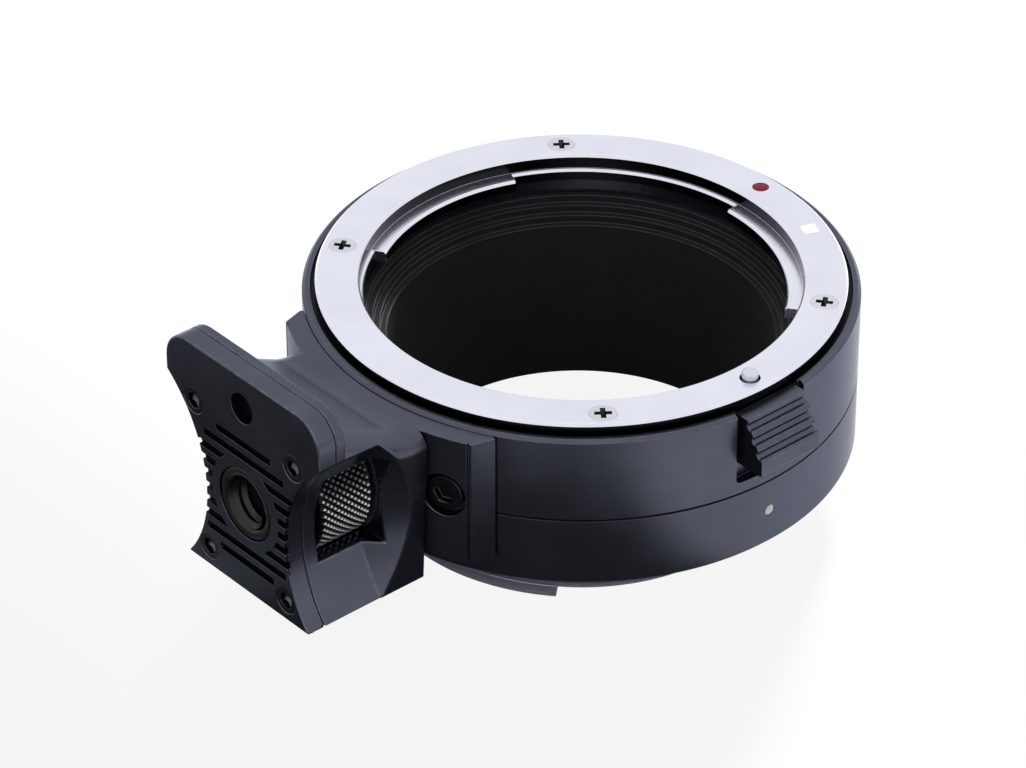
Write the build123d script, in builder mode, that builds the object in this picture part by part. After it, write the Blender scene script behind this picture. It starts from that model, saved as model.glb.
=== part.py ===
from build123d import *
import os
from math import asin, cos, degrees, radians, sin, sqrt, tan

# Lens mount adapter: a short barrel with a female lens bayonet in front, a male
# camera bayonet behind, a sprung lens lock and a removable tripod foot.
# The origin is on the optical axis in the plane of the rear flange. +Z points to
# the lens, +Y to the lens index dot, -Y to the foot and +X to the release slider.

# Registers and fits
flange_distance = 26.0
running_clearance = 0.06
assembly_clearance = 0.1
thread_clearance = 0.05

# Front mount ring
throat_r = 27.0
ring_band = 5.4
ring_thickness = 1.6
ring_edge = 0.3
ledge_width = 0.5
ledge_depth = 1.8
tab_reach = 1.5
tab_thickness = 1.5
tab_width_deg = 54
tab_angles = (65, 185, 305)
skirt_wall = 1.6
leaf_thickness = 0.2
leaf_reach = 0.4
leaf_width_deg = 40

# Ring screws, lock pin and index marks
screw_circle_offset = 0.17
ring_screw_spread_deg = 53.2
ring_screw_head_r = 1.7
ring_screw_shank_r = 0.8
ring_screw_length = 4.6
countersink_deg = 90
lock_pin_r = 1.0
lock_pin_gap = 0.25
lock_pin_rise = 0.9
lock_pin_tip = 0.35
lock_travel = 2.0
mark_depth = 0.4
mark_sink = 0.05
index_dot_r = 1.05
index_square_side = 2.0
index_square_deg = 68.5

# Barrel
ring_margin = 1.6
barrel_wall = 2.6
barrel_bottom_z = 4.0
seam_z = 13.4
rim_drop = 1.2
rim_edge = 0.4
barrel_edge = 0.6
seam_edge = 0.25
barrel_flange = 3.8
spigot_wall = 1.2
spigot_length = 2.0
floor_thickness = 4.2
floor_hole_margin = 1.0
boss_margin = 0.4
board_ledge = 1.0
board_ledge_height = 3.0
camera_dot_r = 0.75
camera_dot_z = 9.0

# Rear mount ring
rear_ring_thickness = 1.8
rear_tube_r = 23.7
rear_tube_wall = 0.7
rear_tube_length = 4.0
rear_flange_band = 5.0
rear_edge = 0.3
lug_reach = 2.0
lug_thickness = 1.6
lug_width_deg = 54
lug_angles = (-75, 45, 165)
rear_screw_angles = (15, 105, 195, 285)
rear_screw_length = 4.4
camera_lock_r = 1.2
camera_lock_deg = 88

# Light baffle
baffle_rim = 0.3
baffle_step = 0.8
baffle_step_height = 1.0
baffle_step_count = 4
baffle_wall = 2.2
baffle_flange = 1.5
baffle_flange_height = 2.4
baffle_flare_height = 1.8
liner_wall = 0.6
liner_short = 0.4

# Electrical contacts
contact_deg = 270
lens_block_span_deg = 50
lens_block_setback = 0.37
lens_block_thickness = 2.4
lens_block_height = 6.0
lens_pin_count = 8
lens_pin_pitch_deg = 4.6
lens_pin_r = 0.55
lens_pin_tip = 0.18
lens_pin_length = 6.0
lens_pin_rise = 1.2
lens_pin_travel = 0.8
camera_block_span_deg = 48
camera_block_thickness = 2.9
camera_block_short = 0.8
camera_shelf_height = 2.0
camera_pad_count = 9
camera_pad_pitch_deg = 3.8
camera_pad_width_deg = 2.4
camera_pad_length = 1.6
camera_pad_thickness = 0.5
camera_pad_rise = 0.1
contact_screw_inset_deg = 3.6
contact_screw_head_r = 1.0
contact_screw_head_height = 0.7
contact_screw_shank_r = 0.55
contact_screw_bite = 1.6
contact_screw_sink = 0.1
pan_head_edge = 0.2

# Circuit board
board_span_deg = 124
board_width = 3.3
board_thickness = 1.0
chip_angles = (222, 247, 296, 320)
chip_size = (2.4, 4.5, 1.1)

# Lens release
pocket_depth = 1.4
pocket_half_width = 5.3
pocket_bottom_z = 15.0
pocket_corner_r = 0.6
slider_side_gap = 0.6
slider_top_rise = 0.6
slider_lip_rise = 3.2
slider_top_drop = 0.4
slider_slope_height = 4.8
slider_lip_height = 2.1
slider_edge = 0.3
rib_count = 3
rib_groove_r = 0.5
stem_half_width = 2.0
stem_height = 2.8
slot_gap = 0.25
arm_thickness = 1.2
arm_drop = 0.6
arm_inner_margin = 1.5
arm_tongue = 1.1
lock_pin_shank_r = 0.7
spring_r = 1.05
spring_wire_r = 0.2
spring_turns = 6
spring_seat_r = 1.9
spring_seat_root = 1.0
spring_peg_r = 0.7
spring_peg_height = 3.0

# Tripod foot
foot_axis_z = 16.2
seat_height = 2.6
seat_bottom_z = 7.2
seat_top_z = 24.4
seat_half_deg = 28
seat_draft_deg = 4
seat_screw_x = 13.8
seat_screw_head_r = 2.3
seat_screw_head_height = 1.1
seat_screw_shank_r = 1.1
seat_counterbore_r = 2.9
seat_counterbore_depth = 1.5
foot_gap = 0.1
foot_reach = 16.0
foot_bottom_z = 3.4
foot_top_z = 34.3
foot_half_width = 14.2
foot_corner_r = 3.0
foot_edge = 0.4
plate_thickness = 2.6
plate_flange = 1.3
neck_half_width = 12.4
neck_top_z = 25.2
neck_rise = 5.0
neck_edge_r = 2.2
neck_draft = 1.0
waist_half_width = 7.4
dish_r = 17.5
dish_z = 14.4
dish_wall = 7.5
dish_end_gap = 5.0
groove_pitch = 1.9
groove_width = 0.8
groove_depth = 0.5
groove_count = 10
groove_field_r = 9.9
groove_boss_r = 6.2
plate_screw_low_x = 7.2
plate_screw_high_x = 9.2
plate_screw_spread = 10.0
plate_screw_head_r = 1.75
plate_screw_shank_r = 1.0
plate_screw_length = 6.0
anti_twist_z = 29.8
anti_twist_r = 2.0
anti_twist_depth = 3.6
tripod_thread_r = 3.175
bushing_r = 4.75
bushing_flange_r = 6.2
bushing_flange_thickness = 1.1
bushing_sink = 0.15
wheel_r = 8.4
wheel_length = 8.0
wheel_gap = 0.2
wheel_edge = 0.4
wheel_floor = 2.0
knurl_count = 40
knurl_depth = 0.35
stud_r = 2.5
stud_hole_gap = 0.2
stud_embed = 5.0
stud_past_seat = 2.2
stud_tip = 0.5
window_height = 12.4
retainer_thickness = 2.0
retainer_spanner_r = 0.8
retainer_spanner_circle = 5.6
locating_pin_r = 0.8
locating_pin_x = 9.4
locating_pin_drop = 6.6
locating_pin_seat_depth = 1.6
locating_pin_reach = 2.2
locating_pin_tip = 0.25

# Heights and radii that follow from the sizes above
front_z = flange_distance
ring_r = throat_r + ring_band
ring_seat_z = front_z - ring_thickness
ledge_r = throat_r - ledge_width
ledge_z = front_z - ledge_depth
skirt_r = ledge_r + skirt_wall
skirt_bottom_z = ledge_z - tab_thickness
tab_r = ledge_r - tab_reach
leaf_bottom_z = skirt_bottom_z - leaf_thickness
screw_circle_r = (throat_r + ring_r) / 2 + screw_circle_offset
ring_screw_angles = [
    top + side * ring_screw_spread_deg for top in (90, 270) for side in (-1, 1)
]
barrel_r = ring_r + ring_margin
rim_z = front_z - rim_drop
barrel_inner_r = barrel_r - barrel_wall
barrel_flange_z = ring_seat_z - barrel_flange
spigot_r = barrel_inner_r + spigot_wall
spigot_z = seam_z - spigot_length
rear_bore_r = rear_tube_r - rear_tube_wall
rear_flange_r = rear_tube_r + rear_flange_band
rear_end_z = -rear_tube_length
rear_screw_circle_r = (rear_tube_r + rear_flange_r) / 2
floor_hole_r = rear_tube_r + floor_hole_margin
floor_z = rear_ring_thickness + floor_thickness
board_z = floor_z + board_ledge_height
baffle_top_r = ledge_r - baffle_rim
baffle_bore_r = baffle_top_r - (baffle_step_count - 1) * baffle_step
baffle_outer_r = baffle_bore_r + baffle_wall
baffle_flange_r = baffle_top_r + baffle_flange
liner_outer_r = rear_bore_r - assembly_clearance
liner_r = liner_outer_r - liner_wall
liner_top_z = rear_ring_thickness + assembly_clearance
liner_end_z = rear_end_z + liner_short
lens_block_r = baffle_bore_r + lens_block_setback
lens_block_outer_r = lens_block_r + lens_block_thickness
lens_block_top_z = barrel_flange_z - assembly_clearance
lens_block_z = lens_block_top_z - lens_block_height
lens_pin_circle_r = (lens_block_r + lens_block_outer_r) / 2
camera_block_outer_r = liner_r - assembly_clearance
camera_block_r = camera_block_outer_r - camera_block_thickness
camera_block_z = rear_end_z + camera_block_short
camera_shelf_z = liner_top_z + assembly_clearance
camera_pad_circle_r = (camera_block_r + camera_block_outer_r) / 2
pocket_floor_x = barrel_r - pocket_depth
slider_x = pocket_floor_x + assembly_clearance
slider_top_z = rim_z - slider_top_drop
slider_knee_z = slider_top_z - slider_slope_height
slider_bottom_z = slider_knee_z - slider_lip_height
arm_top_z = barrel_flange_z - arm_drop
arm_z = arm_top_z - arm_thickness
stem_z = (arm_z + arm_top_z - stem_height) / 2
stem_x = screw_circle_r + max(spring_r + spring_wire_r, lock_pin_r) + assembly_clearance
spring_z = board_z
seat_r = barrel_r + seat_height
seat_screw_side_deg = degrees(asin(seat_screw_x / seat_r))
foot_end_r = seat_r + foot_gap
foot_face_y = -(seat_r + foot_reach)
plate_back_y = foot_face_y + plate_thickness
flange_back_y = plate_back_y + plate_flange
bore_floor_y = plate_back_y + wheel_floor
wheel_face_y = bore_floor_y + wheel_gap
wheel_end_y = wheel_face_y + wheel_length
retainer_y = wheel_end_y + wheel_gap
wheel_bore_r = wheel_r + wheel_gap
stud_tip_y = -(barrel_r - stud_past_seat)
dish_x = waist_half_width + dish_r
dish_floor_y = -(seat_r + dish_end_gap)
dish_places = [(side * dish_x, dish_z) for side in (-1, 1)]
plate_screw_places = [
    (side * x, foot_axis_z + level * plate_screw_spread)
    for side in (-1, 1)
    for x, level in ((plate_screw_low_x, -1), (plate_screw_high_x, 1))
]
locating_pin_places = [
    (side * locating_pin_x, foot_axis_z - side * locating_pin_drop) for side in (-1, 1)
]


def radial_plane(angle):
    """Sketch plane through the optical axis: local x is the radius, local y is height."""
    a = radians(angle)
    return Plane(origin=(0, 0, 0), x_dir=(cos(a), sin(a), 0), z_dir=(sin(a), -cos(a), 0))


def facing_out(radius, angle, z):
    """Plane on a cylinder about the optical axis, with its normal pointing outwards."""
    a = radians(angle)
    return Plane(
        origin=(radius * cos(a), radius * sin(a), z), x_dir=(0, 0, 1), z_dir=(cos(a), sin(a), 0)
    )


def facing_foot(y):
    """Plane across the foot at y, seen from outside: local x is +X, local y is +Z."""
    return Plane(origin=(0, y, 0), x_dir=(1, 0, 0), z_dir=(0, -1, 0))


def around(radius, angles, z):
    """Points on a circle about the optical axis."""
    return [(radius * cos(radians(a)), radius * sin(radians(a)), z) for a in angles]


def centred_angles(middle, count, pitch):
    """Evenly pitched angles about a middle one."""
    return [middle + (i - (count - 1) / 2) * pitch for i in range(count)]


def band(inner_r, outer_r, low_z, high_z):
    """Section of a turned band, for a radial sketch plane."""
    with Locations((inner_r, low_z)):
        Rectangle(outer_r - inner_r, high_z - low_z, align=(Align.MIN, Align.MIN))


def foot_outline():
    """Outline of the foot's flange and base plate, waisted where the fingers reach the wheel."""
    with Locations((0, (foot_bottom_z + foot_top_z) / 2)):
        Rectangle(2 * foot_half_width, foot_top_z - foot_bottom_z)
    fillet(vertices().group_by(Axis.Y)[-1], foot_corner_r)
    with Locations(*dish_places):
        Circle(dish_r, mode=Mode.SUBTRACT)


def countersunk_screw(head_r, shank_r, length):
    """Flat-topped countersunk screw hanging from the origin."""
    cone = (head_r - shank_r) / tan(radians(countersink_deg / 2))
    with BuildPart() as screw:
        with BuildSketch(Plane.XZ):
            with BuildLine():
                Polyline(
                    (0, 0), (head_r, 0), (shank_r, -cone), (shank_r, -length), (0, -length), close=True
                )
            make_face()
        revolve(axis=Axis.Z)
    return screw.part


def pan_screw(head_r, head_height, shank_r, shank_length):
    """Flat-seated screw: the underside of its head is at the origin, its shank points down."""
    with BuildPart() as screw:
        with BuildSketch():
            Circle(head_r)
        extrude(amount=head_height)
        chamfer(screw.edges().group_by(Axis.Z)[-1], pan_head_edge)
        with BuildSketch():
            Circle(shank_r)
        extrude(amount=-shank_length)
    return screw.part


def finish(builder, name):
    """Label a piece and write its file."""
    builder.part.label = name
    export_step(builder.part, f"parts/{name}.step")


os.makedirs("parts", exist_ok=True)

# Front mount ring: a turned brass ring with an inner skirt that carries three bayonet tabs.
ring_screw_places = around(screw_circle_r, ring_screw_angles, front_z - mark_sink)
square_place = Location(around(screw_circle_r, (index_square_deg,), 0)[0], (0, 0, index_square_deg))
with BuildPart() as front_mount_ring:
    with BuildSketch(radial_plane(0)):
        with BuildLine():
            Polyline(
                (throat_r, front_z),
                (ring_r, front_z),
                (ring_r, ring_seat_z),
                (skirt_r, ring_seat_z),
                (skirt_r, skirt_bottom_z),
                (ledge_r, skirt_bottom_z),
                (ledge_r, ledge_z),
                (throat_r, ledge_z),
                close=True,
            )
        make_face()
    revolve(axis=Axis.Z)
    chamfer(front_mount_ring.edges().group_by(Axis.Z)[-1], ring_edge)
    for tab_angle in tab_angles:
        with BuildSketch(radial_plane(tab_angle - tab_width_deg / 2)):
            band(tab_r, (ledge_r + skirt_r) / 2, skirt_bottom_z, ledge_z)
        revolve(axis=Axis.Z, revolution_arc=tab_width_deg)
    with Locations(*around(screw_circle_r, ring_screw_angles, front_z)):
        CounterSinkHole(
            ring_screw_shank_r + thread_clearance,
            ring_screw_head_r + thread_clearance + mark_sink,
            counter_sink_angle=countersink_deg,
        )
    with Locations(*around(screw_circle_r, (0,), front_z)):
        Hole(lock_pin_r + lock_pin_gap)
    with BuildSketch(Plane.XY.offset(front_z)):
        with Locations(*around(screw_circle_r, (90,), 0)):
            Circle(index_dot_r)
        with Locations(square_place):
            Rectangle(index_square_side, index_square_side)
    extrude(amount=-mark_depth, mode=Mode.SUBTRACT)
finish(front_mount_ring, "front_mount_ring")

# Countersunk screws of the front ring.
with BuildPart() as front_mount_screws:
    with Locations(*ring_screw_places):
        add(countersunk_screw(ring_screw_head_r, ring_screw_shank_r, ring_screw_length))
finish(front_mount_screws, "front_mount_screws")

# Leaf springs: thin arcs clamped between the skirt and the barrel, which press the lens home.
with BuildPart() as bayonet_springs:
    for tab_angle in tab_angles:
        with BuildSketch(radial_plane(tab_angle - leaf_width_deg / 2)):
            band(tab_r + leaf_reach, skirt_r, leaf_bottom_z, skirt_bottom_z)
        revolve(axis=Axis.Z, revolution_arc=leaf_width_deg)
finish(bayonet_springs, "bayonet_springs")

# Index marks: enamel fillings in the ring's recesses.
with BuildPart() as lens_index_dot:
    with BuildSketch(Plane.XY.offset(front_z - mark_depth)):
        with Locations(*around(screw_circle_r, (90,), 0)):
            Circle(index_dot_r)
    extrude(amount=mark_depth - mark_sink)
finish(lens_index_dot, "lens_index_dot")

with BuildPart() as lens_index_square:
    with BuildSketch(Plane.XY.offset(front_z - mark_depth)):
        with Locations(square_place):
            Rectangle(index_square_side, index_square_side)
    extrude(amount=mark_depth - mark_sink)
finish(lens_index_square, "lens_index_square")

# Upper barrel: the ring's seat is a thick inner flange, and a spigot below takes the lower barrel.
ring_recess_r = ring_r + assembly_clearance
skirt_hole_r = skirt_r + assembly_clearance
slot_top_z = stem_z + stem_height + slot_gap
slot_bottom_z = stem_z - lock_travel - slot_gap
with BuildPart() as upper_barrel:
    with BuildSketch(radial_plane(0)):
        with BuildLine():
            Polyline(
                (barrel_r - seam_edge, seam_z),
                (barrel_r, seam_z + seam_edge),
                (barrel_r, rim_z - rim_edge),
                (barrel_r - rim_edge, rim_z),
                (ring_recess_r, rim_z),
                (ring_recess_r, ring_seat_z),
                (skirt_hole_r, ring_seat_z),
                (skirt_hole_r, leaf_bottom_z),
                (throat_r, leaf_bottom_z),
                (throat_r, barrel_flange_z),
                (barrel_inner_r, barrel_flange_z),
                (barrel_inner_r, spigot_z),
                (spigot_r, spigot_z),
                (spigot_r, seam_z),
                close=True,
            )
        make_face()
    revolve(axis=Axis.Z)
    with BuildSketch(Plane.YZ.offset(pocket_floor_x)):
        with Locations((0, pocket_bottom_z)):
            RectangleRounded(
                2 * pocket_half_width,
                2 * (front_z - pocket_bottom_z),
                pocket_corner_r,
                align=(Align.CENTER, Align.MIN),
            )
    extrude(amount=2 * pocket_depth, mode=Mode.SUBTRACT)
    with BuildSketch(Plane.YZ.offset(pocket_floor_x)):
        with Locations((0, slot_bottom_z)):
            Rectangle(
                2 * (stem_half_width + slot_gap),
                slot_top_z - slot_bottom_z,
                align=(Align.CENTER, Align.MIN),
            )
    extrude(amount=-2 * barrel_wall, mode=Mode.SUBTRACT)
    with Locations(*around(screw_circle_r, (0,), ring_seat_z)):
        Hole(lock_pin_r + lock_pin_gap, depth=barrel_flange)
    with Locations(*around(screw_circle_r, ring_screw_angles, ring_seat_z)):
        Hole(ring_screw_shank_r + thread_clearance, depth=barrel_flange)
    with BuildSketch(facing_foot(0)):
        with Locations((0, foot_axis_z)):
            Circle(stud_r + stud_hole_gap)
    extrude(amount=barrel_r + seat_height, mode=Mode.SUBTRACT)
    for side in (-1, 1):
        with Locations(facing_out(barrel_r, 270 + side * seat_screw_side_deg, foot_axis_z)):
            Hole(seat_screw_shank_r + thread_clearance, depth=2 * barrel_wall)
finish(upper_barrel, "upper_barrel")

# Lower barrel: a cup with a stepped rear face that carries the rear mount ring.
spring_place = around(screw_circle_r, (0,), 0)[0]
with BuildPart() as lower_barrel:
    with BuildSketch(radial_plane(0)):
        with BuildLine():
            Polyline(
                (barrel_r - seam_edge, seam_z),
                (barrel_r, seam_z - seam_edge),
                (barrel_r, barrel_bottom_z + barrel_edge),
                (barrel_r - barrel_edge, barrel_bottom_z),
                (rear_flange_r + boss_margin, barrel_bottom_z),
                (rear_flange_r + boss_margin, rear_ring_thickness),
                (floor_hole_r, rear_ring_thickness),
                (floor_hole_r, floor_z),
                (barrel_inner_r - board_ledge, floor_z),
                (barrel_inner_r - board_ledge, board_z),
                (barrel_inner_r, board_z),
                (barrel_inner_r, spigot_z - assembly_clearance),
                (spigot_r + thread_clearance, spigot_z - assembly_clearance),
                (spigot_r + thread_clearance, seam_z),
                close=True,
            )
        make_face()
    revolve(axis=Axis.Z)
    with BuildSketch(Plane.XY.offset(floor_z - spring_seat_root)):
        with Locations(spring_place):
            Circle(spring_seat_r)
    extrude(amount=spring_z - floor_z + spring_seat_root)
    with BuildSketch(Plane.XY.offset(spring_z)):
        with Locations(spring_place):
            Circle(spring_peg_r)
    extrude(amount=spring_peg_height)
    with Locations(*around(rear_screw_circle_r, rear_screw_angles, rear_ring_thickness)):
        Hole(ring_screw_shank_r + thread_clearance, depth=2 * floor_thickness)
    with Locations(facing_out(barrel_r, 0, camera_dot_z)):
        Hole(camera_dot_r, depth=mark_depth)
finish(lower_barrel, "lower_barrel")

# Camera index: a dot of enamel in the barrel's side.
with BuildPart() as camera_index_dot:
    with BuildSketch(facing_out(barrel_r - mark_depth, 0, camera_dot_z)):
        Circle(camera_dot_r)
    extrude(amount=mark_depth - mark_sink)
finish(camera_index_dot, "camera_index_dot")

# Light baffle: a black moulded tube with a stepped mouth, which lines the rear tube as well.
stairs = []
for i in range(baffle_step_count):
    stairs.append((baffle_top_r - i * baffle_step, barrel_flange_z - i * baffle_step_height))
    stairs.append((baffle_top_r - i * baffle_step, barrel_flange_z - (i + 1) * baffle_step_height))
lens_screw_angles = [
    contact_deg + side * (lens_block_span_deg / 2 - contact_screw_inset_deg) for side in (-1, 1)
]
camera_screw_angles = [
    contact_deg + side * (camera_block_span_deg / 2 - contact_screw_inset_deg) for side in (-1, 1)
]
with BuildPart() as light_baffle:
    with BuildSketch(radial_plane(0)):
        with BuildLine():
            Polyline(
                *stairs,
                (liner_r, liner_top_z),
                (liner_r, liner_end_z),
                (liner_outer_r, liner_end_z),
                (liner_outer_r, liner_top_z),
                (floor_hole_r - assembly_clearance, liner_top_z),
                (floor_hole_r - assembly_clearance, floor_z),
                (baffle_outer_r, floor_z),
                (baffle_outer_r, barrel_flange_z - baffle_flange_height - baffle_flare_height),
                (baffle_flange_r, barrel_flange_z - baffle_flange_height),
                (baffle_flange_r, barrel_flange_z),
                close=True,
            )
        make_face()
    revolve(axis=Axis.Z)
    notch_span = lens_block_span_deg + 2 * degrees(assembly_clearance / lens_block_r)
    with BuildSketch(radial_plane(contact_deg - notch_span / 2)):
        band(lens_block_r - assembly_clearance, barrel_inner_r, lens_block_z, front_z)
    revolve(axis=Axis.Z, revolution_arc=notch_span, mode=Mode.SUBTRACT)
    with BuildSketch(radial_plane(contact_deg - camera_block_span_deg / 2)):
        band(
            camera_block_r,
            liner_r + liner_wall,
            camera_shelf_z,
            camera_shelf_z + camera_shelf_height,
        )
    revolve(axis=Axis.Z, revolution_arc=camera_block_span_deg)
    with Locations(*around(lens_pin_circle_r, lens_screw_angles, lens_block_z)):
        Hole(contact_screw_shank_r + thread_clearance, depth=contact_screw_bite + thread_clearance)
    with BuildSketch(Plane.XY.offset(camera_shelf_z)):
        with Locations(*around(camera_pad_circle_r, camera_screw_angles, 0)):
            Circle(contact_screw_shank_r + thread_clearance)
    extrude(amount=contact_screw_bite + thread_clearance, mode=Mode.SUBTRACT)
finish(light_baffle, "light_baffle")

# Rear mount ring: a turned flange and tube with three lugs for the camera's bayonet.
lug_root_r = rear_tube_r - rear_tube_wall / 2
lug_r = rear_tube_r + lug_reach
with BuildPart() as rear_mount_ring:
    with BuildSketch(radial_plane(0)):
        with BuildLine():
            Polyline(
                (rear_bore_r, rear_ring_thickness),
                (rear_flange_r, rear_ring_thickness),
                (rear_flange_r, rear_edge),
                (rear_flange_r - rear_edge, 0),
                (rear_tube_r, 0),
                (rear_tube_r, rear_end_z),
                (rear_bore_r, rear_end_z),
                close=True,
            )
        make_face()
    revolve(axis=Axis.Z)
    for lug_angle in lug_angles:
        with BuildSketch(radial_plane(lug_angle - lug_width_deg / 2)):
            band(lug_root_r, lug_r, rear_end_z, rear_end_z + lug_thickness)
        revolve(axis=Axis.Z, revolution_arc=lug_width_deg)
    with BuildSketch(Plane.XY):
        with Locations(*around(rear_screw_circle_r, rear_screw_angles, 0)):
            Circle(ring_screw_shank_r + thread_clearance)
        with Locations(*around(rear_screw_circle_r, (camera_lock_deg,), 0)):
            Circle(camera_lock_r)
    extrude(amount=rear_ring_thickness, mode=Mode.SUBTRACT)
    for place in around(rear_screw_circle_r, rear_screw_angles, 0):
        with Locations(Plane(origin=place, x_dir=(1, 0, 0), z_dir=(0, 0, -1))):
            CounterSinkHole(
                ring_screw_shank_r + thread_clearance,
                ring_screw_head_r + thread_clearance + mark_sink,
                depth=rear_ring_thickness,
                counter_sink_angle=countersink_deg,
            )
finish(rear_mount_ring, "rear_mount_ring")

# Countersunk screws of the rear ring.
with BuildPart() as rear_mount_screws:
    for place in around(rear_screw_circle_r, rear_screw_angles, mark_sink):
        with Locations(Plane(origin=place, x_dir=(1, 0, 0), z_dir=(0, 0, -1))):
            add(countersunk_screw(ring_screw_head_r, ring_screw_shank_r, rear_screw_length))
finish(rear_mount_screws, "rear_mount_screws")

# Lens contact block: a moulded arc at the bottom of the throat, with a bore for each pin.
lens_pin_angles = centred_angles(contact_deg, lens_pin_count, lens_pin_pitch_deg)
lens_pin_top_z = lens_block_top_z + lens_pin_rise
lens_pin_z = lens_pin_top_z - lens_pin_length
contact_head_depth = contact_screw_head_height + contact_screw_sink
with BuildPart() as lens_contact_block:
    with BuildSketch(radial_plane(contact_deg - lens_block_span_deg / 2)):
        band(lens_block_r, lens_block_outer_r, lens_block_z, lens_block_top_z)
    revolve(axis=Axis.Z, revolution_arc=lens_block_span_deg)
    with Locations(*around(lens_pin_circle_r, lens_pin_angles, lens_block_top_z)):
        Hole(
            lens_pin_r + running_clearance,
            depth=lens_pin_length - lens_pin_rise + lens_pin_travel + running_clearance,
        )
    with Locations(*around(lens_pin_circle_r, lens_screw_angles, lens_block_top_z)):
        CounterBoreHole(
            contact_screw_shank_r + thread_clearance,
            contact_screw_head_r + thread_clearance,
            contact_head_depth,
        )
finish(lens_contact_block, "lens_contact_block")

# Sprung contact pins that meet the lens.
with BuildPart() as lens_contact_pins:
    with BuildSketch(Plane.XY.offset(lens_pin_z)):
        with Locations(*around(lens_pin_circle_r, lens_pin_angles, 0)):
            Circle(lens_pin_r)
    extrude(amount=lens_pin_length)
    chamfer(lens_contact_pins.edges().group_by(Axis.Z)[-1], lens_pin_tip)
finish(lens_contact_pins, "lens_contact_pins")

# Screws that hold the lens contact block in the baffle's notch.
lens_screw_shank = lens_block_height - contact_head_depth + contact_screw_bite
with BuildPart() as lens_contact_screws:
    with Locations(*around(lens_pin_circle_r, lens_screw_angles, lens_block_top_z - contact_head_depth)):
        add(
            pan_screw(
                contact_screw_head_r, contact_screw_head_height, contact_screw_shank_r, lens_screw_shank
            )
        )
finish(lens_contact_screws, "lens_contact_screws")

# Camera contact block: sits on the baffle's shelf inside the rear tube, with pads let into its end.
camera_pad_angles = centred_angles(contact_deg, camera_pad_count, camera_pad_pitch_deg)
camera_block_height = camera_shelf_z - camera_block_z
with BuildPart() as camera_contact_block:
    with BuildSketch(radial_plane(contact_deg - camera_block_span_deg / 2)):
        band(camera_block_r, camera_block_outer_r, camera_block_z, camera_shelf_z)
    revolve(axis=Axis.Z, revolution_arc=camera_block_span_deg)
    for pad_angle in camera_pad_angles:
        with BuildSketch(radial_plane(pad_angle - camera_pad_width_deg / 2)):
            band(
                camera_pad_circle_r - camera_pad_length / 2,
                camera_pad_circle_r + camera_pad_length / 2,
                camera_block_z - camera_pad_rise,
                camera_block_z - camera_pad_rise + camera_pad_thickness,
            )
        revolve(axis=Axis.Z, revolution_arc=camera_pad_width_deg, mode=Mode.SUBTRACT)
    for place in around(camera_pad_circle_r, camera_screw_angles, camera_block_z):
        with Locations(Plane(origin=place, x_dir=(1, 0, 0), z_dir=(0, 0, -1))):
            CounterBoreHole(
                contact_screw_shank_r + thread_clearance,
                contact_screw_head_r + thread_clearance,
                contact_head_depth,
            )
finish(camera_contact_block, "camera_contact_block")

# Flat contact pads that meet the camera's pins.
with BuildPart() as camera_contact_pads:
    for pad_angle in camera_pad_angles:
        with BuildSketch(radial_plane(pad_angle - camera_pad_width_deg / 2)):
            band(
                camera_pad_circle_r - camera_pad_length / 2,
                camera_pad_circle_r + camera_pad_length / 2,
                camera_block_z - camera_pad_rise,
                camera_block_z - camera_pad_rise + camera_pad_thickness,
            )
        revolve(axis=Axis.Z, revolution_arc=camera_pad_width_deg)
finish(camera_contact_pads, "camera_contact_pads")

# Screws that hold the camera contact block to the shelf.
camera_screw_shank = camera_block_height - contact_head_depth + contact_screw_bite
with BuildPart() as camera_contact_screws:
    for place in around(camera_pad_circle_r, camera_screw_angles, camera_block_z + contact_head_depth):
        with Locations(Plane(origin=place, x_dir=(1, 0, 0), z_dir=(0, 0, -1))):
            add(
                pan_screw(
                    contact_screw_head_r,
                    contact_screw_head_height,
                    contact_screw_shank_r,
                    camera_screw_shank,
                )
            )
finish(camera_contact_screws, "camera_contact_screws")

# Circuit board: an arc on the lower barrel's ledge, with its chips on top.
board_outer_r = barrel_inner_r - assembly_clearance
with BuildPart() as main_board:
    with BuildSketch(radial_plane(contact_deg - board_span_deg / 2)):
        band(board_outer_r - board_width, board_outer_r, board_z, board_z + board_thickness)
    revolve(axis=Axis.Z, revolution_arc=board_span_deg)
finish(main_board, "main_board")

chip_places = around(board_outer_r - board_width / 2, chip_angles, board_z + board_thickness)
with BuildPart() as board_chips:
    for place, chip_angle in zip(chip_places, chip_angles):
        with Locations(Location(place, (0, 0, chip_angle))):
            Box(*chip_size, align=(Align.CENTER, Align.CENTER, Align.MIN))
finish(board_chips, "board_chips")

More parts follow.
